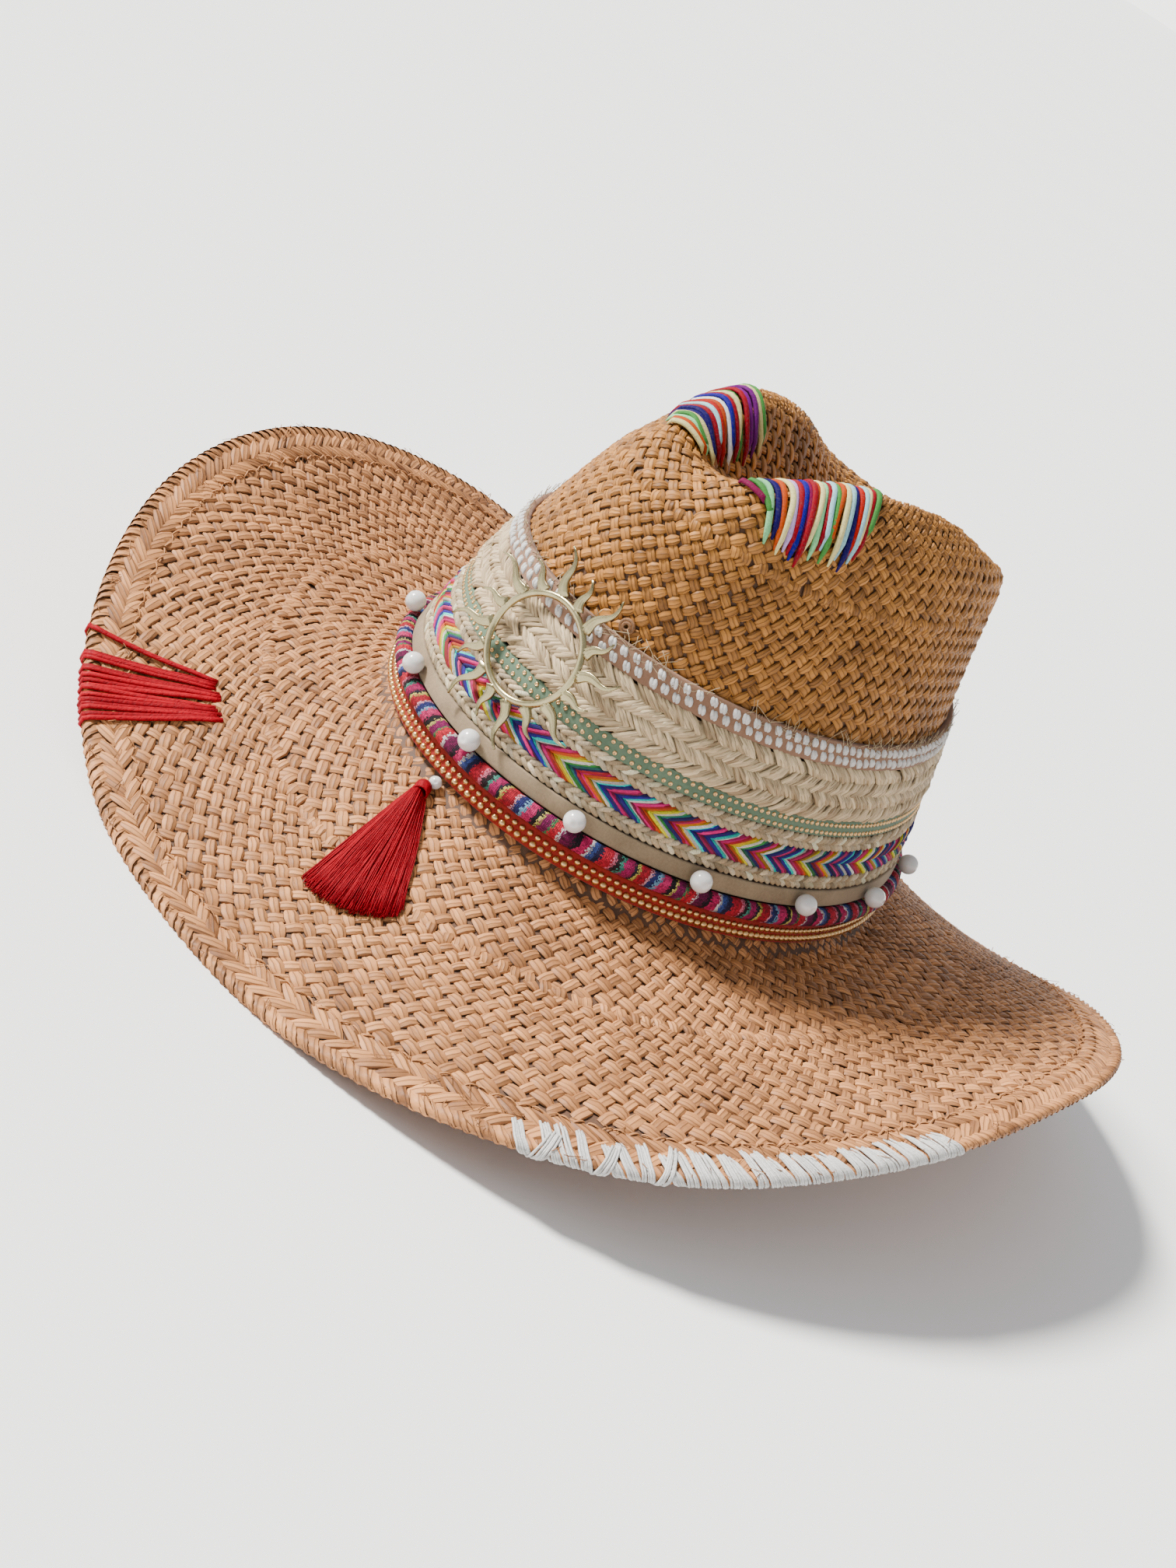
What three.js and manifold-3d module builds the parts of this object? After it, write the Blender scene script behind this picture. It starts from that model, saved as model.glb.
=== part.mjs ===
// A woven palm-straw hat with a creased crown, a wide curled brim, wound bands, a brass sun and a tassel.
// Millimetres. +Z is up, -Y is the front of the hat and +X is the wearer's left.
// The origin is on the floor under the middle of the hat's box.
import * as THREE from "three";
import { mergeVertices } from "three/addons/utils/BufferGeometryUtils.js";
import Module from "manifold-3d";

const wasm = await Module();
wasm.setup();

// Sizes of the straw body
const STRAW_WALL = 2.5;
const HEAD_HALF_WIDTH = 86;
const HEAD_HALF_LENGTH = 104;
const CROWN_HEIGHT = 138;
const BRIM_REACH = 96;
const BRIM_DROP = 39;
const BASE_FILLET = 4;

// Where the brim's edge meets the floor, it bends level over this softness and this hem
const REST_SOFTNESS = 1.5;
const REST_HEM = 4.5;
const REST_FLAT = 0.7;

// Sizes of the bands, each width measured up the crown's wall
const SEAT_GAP = 0.3;
const BAND_START = 4.6;
const RED_LACE_WIDTH = 7.0;
const RED_LACE_THICKNESS = 2.0;
const CORD_DIAMETER = 6.0;
const BEIGE_LACE_WIDTH = 5.6;
const BEIGE_LACE_THICKNESS = 2.6;
const JUTE_BRAID_WIDTH = 17.8;
const JUTE_BRAID_THICKNESS = 3.2;
const GREEN_LACE_WIDTH = 5.6;
const GREEN_LACE_THICKNESS = 1.8;
const CREAM_BRAID_WIDTH = 16.6;
const CREAM_BRAID_THICKNESS = 3.4;
const TOP_LACE_WIDTH = 8.0;
const TOP_LACE_THICKNESS = 2.2;

// A wide braid's edges are this share of its thickness
const CROWNED_EDGE = 0.78;

// Sizes of the ornaments
const PEARL_DIAMETER = 7;
const PEARL_COUNT = 14;
const SUN_RING_DIAMETER = 35.5;
const SUN_WIRE = 2.2;
const SUN_THICKNESS = 1.8;
const SUN_LONG_RAY = 14.8;
const SUN_SHORT_RAY = 9.7;
const SUN_RAY_WIDTH = 3.4;
const SUN_TIP_WIDTH = 0.4;
const SUN_RAY_WAVE = 1.2;
const SUN_RAY_SWEEP = 9;
const SUN_RAY_PAIRS = 8;
const SUN_ANGLE = -89;
const SUN_TURN = 18;
const SUN_RUN = 54.5;
const BEAD_DIAMETER = 5;
const TASSEL_ANGLE = -89.4;
const TASSEL_LEAN = 31;
const TASSEL_HEAD_DIAMETER = 6.0;
const TASSEL_LENGTH = 46;
const TASSEL_SKIRT_WIDTH = 30;
const TASSEL_LOCK_THICKNESS = 4.6;
const TASSEL_LOCKS = 9;

// Shapes of the tassel's locks: overlap of neighbours, and shares left at the head, tip and outer locks
const LOCK_OVERLAP = 1.35;
const LOCK_HEAD_SPREAD = 0.1;
const LOCK_TIP_HEIGHT = 0.62;
const LOCK_OUTER_LENGTH = 0.9;

// How finely the solids are divided
const ROUND_STEPS = 56;
const BRIM_STEPS = 7;
const WALL_STEPS = 8;
const TOP_STEPS = 4;
const CORD_SIDES = 8;
const BEAD_SIDES = 10;

// The brim's edge: reach is a share of BRIM_REACH, lift and curl shares of BRIM_DROP
const brimRows = [
  { angle: -90, reach: 0.92, lift: -1.12, curl: 0.1 },
  { angle: -72, reach: 0.96, lift: -0.96, curl: 0.1 },
  { angle: -45, reach: 1.05, lift: -0.43, curl: 0.15 },
  { angle: -20, reach: 0.97, lift: 0.05, curl: 0.3 },
  { angle: 5, reach: 0.94, lift: 0.38, curl: 0.3 },
  { angle: 25, reach: 1.0, lift: 0.4, curl: 0.35 },
  { angle: 45, reach: 0.99, lift: 0.02, curl: 0.3 },
  { angle: 70, reach: 0.93, lift: -0.86, curl: 0.1 },
  { angle: 90, reach: 0.92, lift: -1.12, curl: 0.1 },
  { angle: 110, reach: 0.93, lift: -0.92, curl: 0.1 },
  { angle: 135, reach: 0.95, lift: -0.42, curl: 0.25 },
  { angle: 160, reach: 0.94, lift: 0.25, curl: 0.4 },
  { angle: 190, reach: 0.97, lift: 0.53, curl: 0.4 },
  { angle: 212, reach: 1.0, lift: 0.22, curl: 0.3 },
  { angle: 238, reach: 0.955, lift: -0.5, curl: 0.15 },
  { angle: 256, reach: 0.92, lift: -0.97, curl: 0.1 },
];

// Level sections of the crown's wall: up is a share of CROWN_HEIGHT, side of HEAD_HALF_WIDTH,
// front and back of HEAD_HALF_LENGTH
const wallRows = [
  { up: 0.0, side: 1.0, front: 1.0, back: 1.0 },
  { up: 0.26, side: 0.91, front: 0.95, back: 0.955 },
  { up: 0.51, side: 0.79, front: 0.89, back: 0.91 },
  { up: 0.78, side: 0.65, front: 0.84, back: 0.935 },
];

// The crest round the crown's hollow top, in the same shares; the hand-set sides differ a little
const crestRows = [
  { angle: -90, side: 0.0, along: -0.6, up: 0.88 },
  { angle: -75, side: 0.15, along: -0.68, up: 0.92 },
  { angle: -58, side: 0.24, along: -0.48, up: 0.965 },
  { angle: -36, side: 0.33, along: -0.21, up: 1.0 },
  { angle: 0, side: 0.39, along: 0.16, up: 0.98 },
  { angle: 36, side: 0.42, along: 0.52, up: 0.905 },
  { angle: 64, side: 0.3, along: 0.8, up: 0.855 },
  { angle: 90, side: 0.0, along: 0.865, up: 0.82 },
  { angle: 116, side: -0.3, along: 0.78, up: 0.8 },
  { angle: 144, side: -0.42, along: 0.5, up: 0.85 },
  { angle: 180, side: -0.39, along: 0.16, up: 0.955 },
  { angle: 216, side: -0.33, along: -0.21, up: 1.0 },
  { angle: 238, side: -0.24, along: -0.48, up: 0.95 },
  { angle: 255, side: -0.15, along: -0.68, up: 0.895 },
];

// From the crest, the hollow's side passes a place this share of the way across and down to its floor
const SIDE_ACROSS = 0.55;
const SIDE_DOWN = 0.7;

// The valley's floor from front to back, in the same shares
const valleyRows = [
  { along: -0.46, up: 0.82 },
  { along: 0.0, up: 0.77 },
  { along: 0.6, up: 0.73 },
];

// Hand-sewn beads stray from even steps by these degrees, from the front towards the wearer's left
const pearlSlips = [2, -2.5, -3.5, -2, 0, 1.5, -1, 0.5, 2, -1.5, 3, 5, 8, 7.5];

// Dents of the crown: depth is a share of HEAD_HALF_WIDTH, spread is in degrees, tall in CROWN_HEIGHT
const dentRows = [
  { angle: -38, up: 0.8, depth: 0.07, spread: 26, tall: 0.16 },
  { angle: 218, up: 0.8, depth: 0.07, spread: 26, tall: 0.16 },
];

// Looks of the pieces, by name
const looks = {
  straw: { color: 0xc39a6b, roughness: 0.72, metalness: 0 },
  red_suede: { color: 0x9c2a1c, roughness: 0.85, metalness: 0 },
  striped_cloth: { color: 0x8a2748, roughness: 0.9, metalness: 0 },
  beige_suede: { color: 0xb29a7c, roughness: 0.9, metalness: 0 },
  jute: { color: 0xc9b791, roughness: 0.9, metalness: 0 },
  green_suede: { color: 0x7fa287, roughness: 0.85, metalness: 0 },
  cream_fibre: { color: 0xe8dcc0, roughness: 0.85, metalness: 0 },
  white_lace: { color: 0xe2d3c4, roughness: 0.85, metalness: 0 },
  pearl: { color: 0xf4f1ea, roughness: 0.25, metalness: 0 },
  brass: { color: 0xc8b27c, roughness: 0.3, metalness: 1 },
  red_thread: { color: 0xb8122a, roughness: 0.6, metalness: 0 },
};

// Angles are in degrees from +X towards +Y, so the front of the hat lies at this one
const FRONT_ANGLE = -90;

// Small helpers

function radians(degrees) {
  return (degrees * Math.PI) / 180;
}

function mix(from, to, share) {
  return from + (to - from) * share;
}

// A smooth curve through four values, at a share of the way from the second to the third
function smooth(before, from, to, after, spans, share) {
  const span = spans[1];
  const slopeFrom = ((to - before) / (spans[0] + span)) * span;
  const slopeTo = ((after - from) / (span + spans[2])) * span;
  const square = share * share;
  const cube = square * share;
  const ends = from * (2 * cube - 3 * square + 1) + to * (3 * square - 2 * cube);
  return ends + slopeFrom * (cube - 2 * square + share) + slopeTo * (cube - square);
}

// Reads a column of a table of rows in the order of a key, smoothly between the rows
function readRows(rows, key, column, value) {
  let index = rows.findIndex((row) => row[key] > value) - 1;
  if (index === -2) {
    index = rows.length - 2;
  }
  index = Math.max(index, 0);
  const last = rows.length - 1;
  const picked = [index - 1, index, index + 1, index + 2].map((n) => rows[Math.min(Math.max(n, 0), last)]);
  const spans = [0, 1, 2].map((n) => Math.max(picked[n + 1][key] - picked[n][key], 0));
  const share = (value - picked[1][key]) / spans[1];
  const values = picked.map((row) => row[column]);
  return smooth(...values, spans, Math.min(Math.max(share, 0), 1));
}

// The same for a table that runs all the way round
function readRound(rows, column, angle) {
  const turned = ((((angle - rows[0].angle) % 360) + 360) % 360) + rows[0].angle;
  const before = rows.slice(-2).map((row) => ({ ...row, angle: row.angle - 360 }));
  const after = rows.slice(0, 2).map((row) => ({ ...row, angle: row.angle + 360 }));
  return readRows([...before, ...rows, ...after], "angle", column, turned);
}

// Heights are first counted from the crown's base and lifted to the floor at the end
const FLOOR_TO_BASE = BRIM_DROP + STRAW_WALL - REST_FLAT;

// The crown's wall, level by level
function wallPoint(row, angle) {
  const cosine = Math.cos(radians(angle));
  const sine = Math.sin(radians(angle));
  const middle = (row.back + row.front) / 2;
  const halfLength = HEAD_HALF_LENGTH * (middle + ((row.back - row.front) / 2) * sine);
  const halfWidth = HEAD_HALF_WIDTH * row.side;
  const radius = 1 / Math.hypot(cosine / halfWidth, sine / halfLength);
  return new THREE.Vector3(radius * cosine, radius * sine, CROWN_HEIGHT * row.up);
}

function crestPoint(angle) {
  const side = readRound(crestRows, "side", angle);
  const along = readRound(crestRows, "along", angle);
  const up = readRound(crestRows, "up", angle);
  return new THREE.Vector3(side * HEAD_HALF_WIDTH, along * HEAD_HALF_LENGTH, up * CROWN_HEIGHT);
}

// Both sides of the crown meet in the same points of the valley
function valleyPoint(angle) {
  const folded = THREE.MathUtils.radToDeg(Math.asin(Math.sin(radians(angle))));
  const along = mix(valleyRows[0].along, valleyRows[valleyRows.length - 1].along, (folded - FRONT_ANGLE) / 180);
  const up = readRows(valleyRows, "along", "up", along);
  return new THREE.Vector3(0, along * HEAD_HALF_LENGTH, up * CROWN_HEIGHT);
}

// Pushes a point of the crown inwards where a dent lies
function dented(point, angle) {
  const result = point.clone();
  for (const dent of dentRows) {
    const turn = Math.abs(((((angle - dent.angle) % 360) + 540) % 360) - 180) / dent.spread;
    const rise = (point.z / CROWN_HEIGHT - dent.up) / dent.tall;
    const push = dent.depth * HEAD_HALF_WIDTH * Math.exp(-turn * turn - rise * rise);
    const flat = Math.hypot(point.x, point.y);
    result.x -= (point.x / flat) * push;
    result.y -= (point.y / flat) * push;
  }
  return result;
}

// One line up the crown at an angle, from the base over the crest and down to the valley
function crownLine(angle) {
  const points = wallRows.map((row) => dented(wallPoint(row, angle), angle));
  const crest = crestPoint(angle);
  const valley = valleyPoint(angle);
  points.push(crest);
  points.push(crest.clone().lerp(valley, SIDE_ACROSS).setZ(mix(crest.z, valley.z, SIDE_DOWN)));
  points.push(valley);
  return new THREE.CatmullRomCurve3(points, false, "centripetal");
}

// The share of a crown line at which its crest lies
const CREST_SHARE = wallRows.length / (wallRows.length + 2);

// A height kept above a level, with a soft bend where it comes near
function bentLevel(height, level) {
  return level + REST_SOFTNESS * Math.log1p(Math.exp((height - level) / REST_SOFTNESS));
}

// The brim's upper face, from the crown's base at 0 to the edge at 1
function brimPoint(angle, share) {
  const base = wallPoint(wallRows[0], angle);
  const flat = Math.hypot(base.x, base.y);
  const reach = mix(BASE_FILLET, BRIM_REACH * readRound(brimRows, "reach", angle), share);
  const lift = BRIM_DROP * readRound(brimRows, "lift", angle);
  const curl = BRIM_DROP * readRound(brimRows, "curl", angle);
  const height = bentLevel(lift * share + curl * (share * share - share), -BRIM_DROP);
  return new THREE.Vector3((base.x * (flat + reach)) / flat, (base.y * (flat + reach)) / flat, height);
}

// The share of a crown line where the wall comes out of the fillet
function crownStart(crown) {
  const base = crown.getPoint(0);
  let share = 0;
  while (crown.getPoint(share).distanceTo(base) < BASE_FILLET) {
    share += 0.002;
  }
  return share;
}

// One line of the upper face, from the brim's edge over the crown to the valley
function bodyLine(angle) {
  const crown = crownLine(angle);
  const start = crownStart(crown);
  const foot = brimPoint(angle, 0);
  const line = [brimPoint(angle, 1)];
  const hem = 1 - REST_HEM / BRIM_REACH;
  for (let step = 0; step < BRIM_STEPS; step += 1) {
    line.push(brimPoint(angle, hem * (1 - step / BRIM_STEPS)));
  }
  line.push(foot);
  const corner = wallPoint(wallRows[0], angle);
  line.push(new THREE.QuadraticBezierCurve3(foot, corner, crown.getPoint(start)).getPoint(0.5));
  for (let step = 0; step <= WALL_STEPS; step += 1) {
    line.push(crown.getPoint(mix(start, CREST_SHARE, step / WALL_STEPS)));
  }
  for (let step = 1; step <= TOP_STEPS; step += 1) {
    line.push(crown.getPoint(mix(CREST_SHARE, 1, step / TOP_STEPS)));
  }
  return line;
}

// A closed mesh from a list of points and triangles
function meshGeometry(points, triangles) {
  const geometry = new THREE.BufferGeometry();
  const numbers = points.flatMap((point) => [point.x, point.y, point.z]);
  geometry.setAttribute("position", new THREE.Float32BufferAttribute(numbers, 3));
  geometry.setIndex(triangles.flat());
  geometry.computeVertexNormals();
  return geometry;
}

// Outward directions of a grid of points that runs round in its first index and ends in the valley
function gridNormals(grid) {
  const rounds = grid.length;
  const last = grid[0].length - 1;
  const upwards = new THREE.Vector3(0, 0, 1);
  return grid.map((line, i) =>
    line.map((point, j) => {
      if (j === last) {
        return upwards;
      }
      const round = grid[(i + 1) % rounds][j].clone().sub(grid[(i + rounds - 1) % rounds][j]);
      const across = line[j + 1].clone().sub(line[Math.max(j - 1, 0)]);
      return round.cross(across).normalize();
    }),
  );
}

// The point halfway through the brim's edge, pushed out so that the edge is rounded
function edgePoint(upperLine, lowerLine) {
  const outward = upperLine[0].clone().sub(upperLine[1]).normalize();
  const middle = upperLine[0].clone().add(lowerLine[0]).multiplyScalar(0.5);
  return middle.addScaledVector(outward, STRAW_WALL / 3);
}

// The woven body: upper face, lower face a wall's thickness below, joined round the brim's edge
function wovenBody() {
  const upper = [];
  for (let i = 0; i < ROUND_STEPS; i += 1) {
    upper.push(bodyLine(FRONT_ANGLE + (360 * i) / ROUND_STEPS));
  }
  const normals = gridNormals(upper);
  const lower = upper.map((line, i) => line.map((point, j) => lowerPoint(point, normals[i][j])));
  const edge = upper.map((line, i) => edgePoint(line, lower[i]));
  const points = [...upper.flat(), ...lower.flat(), ...edge];
  const triangles = [];
  const rings = upper[0].length;
  const ringCount = ROUND_STEPS * rings;
  const upperIndex = (i, j) => gridIndex(i, j, rings);
  const lowerIndex = (i, j) => ringCount + gridIndex(i, j, rings);
  const edgeIndex = (i) => 2 * ringCount + (i % ROUND_STEPS);
  for (let i = 0; i < ROUND_STEPS; i += 1) {
    for (let j = 0; j < rings - 1; j += 1) {
      quad(triangles, upperIndex(i, j), upperIndex(i + 1, j), upperIndex(i + 1, j + 1), upperIndex(i, j + 1));
      quad(triangles, lowerIndex(i, j + 1), lowerIndex(i + 1, j + 1), lowerIndex(i + 1, j), lowerIndex(i, j));
    }
    quad(triangles, edgeIndex(i), edgeIndex(i + 1), upperIndex(i + 1, 0), upperIndex(i, 0));
    quad(triangles, lowerIndex(i, 0), lowerIndex(i + 1, 0), edgeIndex(i + 1), edgeIndex(i));
  }
  return usedOnly(points, triangles);
}

// The lower face under a point, flattened where the hat rests
function lowerPoint(point, normal) {
  const below = point.clone().addScaledVector(normal, -STRAW_WALL);
  below.z = Math.max(below.z, -FLOOR_TO_BASE);
  return below;
}

// The number of a grid point, where both sides of the valley share their last point
function gridIndex(i, j, rings) {
  const turn = i % ROUND_STEPS;
  const opposite = (ROUND_STEPS - turn) % ROUND_STEPS;
  const side = j === rings - 1 ? Math.min(turn, opposite) : turn;
  return side * rings + j;
}

// Two triangles for four points, less any that has no width
function quad(triangles, a, b, c, d) {
  for (const triangle of [[a, b, c], [a, c, d]]) {
    if (new Set(triangle).size === 3) {
      triangles.push(triangle);
    }
  }
}

// Leaves out the points that no triangle uses
function usedOnly(points, triangles) {
  const numbers = new Map();
  const kept = [];
  const renumbered = triangles.map((triangle) =>
    triangle.map((index) => {
      if (!numbers.has(index)) {
        numbers.set(index, kept.length);
        kept.push(points[index]);
      }
      return numbers.get(index);
    }),
  );
  return meshGeometry(kept, renumbered);
}

// The bands lie on this: a point at a run up the crown's wall, with the ways out and up there
function seatOn(angle, run) {
  const { points, runs } = crownLines.get(angle) ?? measuredLine(angle);
  const index = Math.min(Math.max(runs.findIndex((value) => value > run), 1), runs.length - 1);
  const share = (run - runs[index - 1]) / (runs[index] - runs[index - 1]);
  const point = points[index - 1].clone().lerp(points[index], share);
  const up = points[index].clone().sub(points[index - 1]).normalize();
  const before = wallPoint(wallRows[1], angle - 1);
  const round = wallPoint(wallRows[1], angle + 1).sub(before).normalize();
  const out = round.clone().cross(up).normalize();
  return { point, out, up };
}

// The facets of the crown's wall as points with their run from the base, kept by angle
const crownLines = new Map();

function measuredLine(angle) {
  const crown = crownLine(angle);
  const start = crownStart(crown);
  const points = [crown.getPoint(0)];
  const runs = [0];
  for (let step = 0; step <= WALL_STEPS; step += 1) {
    const point = crown.getPoint(mix(start, CREST_SHARE, step / WALL_STEPS));
    runs.push(runs[step] + point.distanceTo(points[step]));
    points.push(point);
  }
  const line = { points, runs };
  crownLines.set(angle, line);
  return line;
}

// A closed ring round the crown with a given section: run up the wall and height off it
function ringRound(section) {
  const points = [];
  const triangles = [];
  const corners = section.length;
  for (let i = 0; i < ROUND_STEPS; i += 1) {
    const angle = FRONT_ANGLE + (360 * i) / ROUND_STEPS;
    for (const corner of section) {
      const seat = seatOn(angle, corner.run);
      points.push(seat.point.clone().addScaledVector(seat.out, corner.off));
    }
  }
  const index = (i, j) => (i % ROUND_STEPS) * corners + (j % corners);
  for (let i = 0; i < ROUND_STEPS; i += 1) {
    for (let j = 0; j < corners; j += 1) {
      quad(triangles, index(i + 1, j), index(i + 1, j + 1), index(i, j + 1), index(i, j));
    }
  }
  return meshGeometry(points, triangles);
}

// A flat lace or braid: a narrow one has a plain section, a wide one is crowned in its middle
function flatSection(start, width, thickness, crowned) {
  const middle = start + width / 2;
  const end = start + width;
  const shoulder = SEAT_GAP + thickness * (crowned ? CROWNED_EDGE : 1);
  const section = [
    { run: start, off: SEAT_GAP },
    { run: start, off: shoulder },
    { run: end, off: shoulder },
    { run: end, off: SEAT_GAP },
  ];
  if (crowned) {
    section.splice(2, 0, { run: middle, off: SEAT_GAP + thickness });
    section.push({ run: middle, off: SEAT_GAP });
  }
  return section;
}

function cordSection(start, diameter) {
  const radius = diameter / 2;
  const section = [];
  for (let side = 0; side < CORD_SIDES; side += 1) {
    const turn = (2 * Math.PI * (side + 0.5)) / CORD_SIDES;
    section.push({ run: start + radius * (1 - Math.cos(turn)), off: SEAT_GAP + radius * (1 + Math.sin(turn)) });
  }
  return section;
}

// The bands from the brim upwards; each is seated a gap above the one below
const bandRows = [
  { name: "red_stud_lace", look: "red_suede", width: RED_LACE_WIDTH, thickness: RED_LACE_THICKNESS },
  { name: "woven_cord", look: "striped_cloth", width: CORD_DIAMETER, thickness: CORD_DIAMETER },
  { name: "beige_lace", look: "beige_suede", width: BEIGE_LACE_WIDTH, thickness: BEIGE_LACE_THICKNESS },
  { name: "jute_braid", look: "jute", width: JUTE_BRAID_WIDTH, thickness: JUTE_BRAID_THICKNESS },
  { name: "green_stud_lace", look: "green_suede", width: GREEN_LACE_WIDTH, thickness: GREEN_LACE_THICKNESS },
  { name: "cream_braid", look: "cream_fibre", width: CREAM_BRAID_WIDTH, thickness: CREAM_BRAID_THICKNESS },
  { name: "top_lace", look: "white_lace", width: TOP_LACE_WIDTH, thickness: TOP_LACE_THICKNESS },
];
bandRows.forEach((band, index) => {
  const below = bandRows[index - 1];
  band.start = below ? below.start + below.width + SEAT_GAP : BAND_START;
});

function bandNamed(name) {
  return bandRows.find((band) => band.name === name);
}

const hat = new THREE.Group();
const pieces = new THREE.Group();
hat.add(pieces);

function addPiece(name, look, geometry) {
  const mesh = new THREE.Mesh(geometry, new THREE.MeshStandardMaterial(looks[look]));
  mesh.name = name;
  pieces.add(mesh);
  return mesh;
}

function addBands() {
  for (const band of bandRows) {
    const crowned = band.width > 2 * CORD_DIAMETER;
    const section =
      band.name === "woven_cord"
        ? cordSection(band.start, band.width)
        : flatSection(band.start, band.width, band.thickness, crowned);
    addPiece(band.name, band.look, ringRound(section));
  }
}

// A round bead with its centre off the seat that it is sewn to
function addBead(name, look, diameter, seat, off) {
  const bead = addPiece(name, look, new THREE.SphereGeometry(diameter / 2, BEAD_SIDES, BEAD_SIDES / 2));
  bead.position.copy(seat.point).addScaledVector(seat.out, off);
  bead.quaternion.setFromUnitVectors(new THREE.Vector3(0, 1, 0), seat.out);
}

// White beads sewn along the middle of the beige lace
function addPearls() {
  const lace = bandNamed("beige_lace");
  const off = SEAT_GAP + lace.thickness + SEAT_GAP + PEARL_DIAMETER / 2;
  for (let count = 0; count < PEARL_COUNT; count += 1) {
    const angle = FRONT_ANGLE + (360 * count) / PEARL_COUNT + pearlSlips[count % pearlSlips.length];
    const seat = seatOn(angle, lace.start + lace.width / 2);
    addBead(`pearl_${String(count + 1).padStart(2, "0")}`, "pearl", PEARL_DIAMETER, seat, off);
  }
}

// A point of a wavy ray, whose root lies round the ring behind its tip by the sweep in degrees:
// share runs from the ring to the tip, side from -1 to 1 across it
function rayPoint(turn, length, share, side) {
  const wide = mix(SUN_RAY_WIDTH, SUN_TIP_WIDTH, share ** 0.8) / 2;
  const wave = SUN_RAY_WAVE * (length / SUN_LONG_RAY) * Math.sin(2 * Math.PI * share);
  const out = SUN_RING_DIAMETER / 2 + length * share;
  const across = wave + side * wide;
  const swept = turn - radians(SUN_RAY_SWEEP) * (1 - share);
  return new THREE.Vector2(out, across).rotateAround(new THREE.Vector2(0, 0), swept);
}

// The sun: a flat ring with long and short wavy rays, cast in one piece
function sunGeometry() {
  const rays = 2 * SUN_RAY_PAIRS;
  const raySteps = 4;
  const outline = [];
  for (let ray = 0; ray < rays; ray += 1) {
    const turn = (2 * Math.PI * ray) / rays + radians(SUN_TURN);
    const length = ray % 2 === 0 ? SUN_LONG_RAY : SUN_SHORT_RAY;
    for (let step = 0; step <= raySteps; step += 1) {
      outline.push(rayPoint(turn, length, step / raySteps, -1));
    }
    for (let step = raySteps; step >= 0; step -= 1) {
      outline.push(rayPoint(turn, length, step / raySteps, 1));
    }
  }
  const shape = new THREE.Shape(outline);
  const hole = new THREE.Path();
  hole.absarc(0, 0, SUN_RING_DIAMETER / 2 - SUN_WIRE, 0, 2 * Math.PI, true);
  shape.holes.push(hole);
  return new THREE.ExtrudeGeometry(shape, { depth: SUN_THICKNESS, bevelEnabled: false, curveSegments: 24 });
}

// The sun leans on the widest bands at the front of the crown
function addSun() {
  const seat = seatOn(SUN_ANGLE, SUN_RUN);
  const sun = addPiece("sun_ornament", "brass", sunGeometry());
  const side = new THREE.Vector3().crossVectors(seat.up, seat.out).normalize();
  sun.quaternion.setFromRotationMatrix(new THREE.Matrix4().makeBasis(side, seat.up, seat.out));
  const ringRadius = SUN_RING_DIAMETER / 2;
  const center = seat.point.clone();
  let lift = 0;
  for (const run of [SUN_RUN - ringRadius, SUN_RUN, SUN_RUN + ringRadius]) {
    const near = seatOn(SUN_ANGLE, run).point.clone().sub(center).dot(seat.out);
    lift = Math.max(lift, near + thicknessAt(run));
  }
  sun.position.copy(center).addScaledVector(seat.out, lift + 2 * SEAT_GAP);
}

// How far the bands stand off the wall at a run
function thicknessAt(run) {
  const band = bandRows.find((row) => run >= row.start && run <= row.start + row.width + SEAT_GAP);
  return band ? band.thickness : 0;
}

// The brim's upper face under a place in plan
function brimUnder(x, y) {
  const angle = THREE.MathUtils.radToDeg(Math.atan2(y, x));
  const base = wallPoint(wallRows[0], angle);
  const inner = Math.hypot(base.x, base.y) + BASE_FILLET;
  const outer = Math.hypot(base.x, base.y) + BRIM_REACH * readRound(brimRows, "reach", angle);
  return brimPoint(angle, Math.max((Math.hypot(x, y) - inner) / (outer - inner), 0));
}

// A closed tube of round sections along a list of { center, across, up, wide, high }
function tubeGeometry(sections, sides) {
  const points = [];
  const triangles = [];
  for (const section of sections) {
    for (let side = 0; side < sides; side += 1) {
      const turn = (2 * Math.PI * (side + 0.5)) / sides;
      const point = section.center.clone();
      point.addScaledVector(section.across, section.wide * Math.cos(turn));
      points.push(point.addScaledVector(section.up, section.high * Math.sin(turn)));
    }
  }
  const last = (sections.length - 1) * sides;
  for (let i = 0; i < sections.length - 1; i += 1) {
    for (let j = 0; j < sides; j += 1) {
      const next = (j + 1) % sides;
      quad(triangles, i * sides + j, i * sides + next, (i + 1) * sides + next, (i + 1) * sides + j);
    }
  }
  for (let j = 1; j < sides - 1; j += 1) {
    triangles.push([0, j + 1, j]);
    triangles.push([last, last + j, last + j + 1]);
  }
  return meshGeometry(points, triangles);
}

// Turns a closed geometry into a solid and back
function toSolid(geometry) {
  const bare = new THREE.BufferGeometry();
  bare.setAttribute("position", geometry.getAttribute("position"));
  bare.setIndex(geometry.getIndex());
  const merged = mergeVertices(bare, 1e-4);
  const vertProperties = new Float32Array(merged.getAttribute("position").array);
  const triVerts = new Uint32Array(merged.getIndex().array);
  return new wasm.Manifold(new wasm.Mesh({ numProp: 3, vertProperties, triVerts }));
}

function fromSolid(solid) {
  const mesh = solid.getMesh();
  const geometry = new THREE.BufferGeometry();
  geometry.setAttribute("position", new THREE.Float32BufferAttribute(mesh.vertProperties, 3));
  geometry.setIndex(Array.from(mesh.triVerts));
  geometry.computeVertexNormals();
  return geometry;
}

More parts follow.
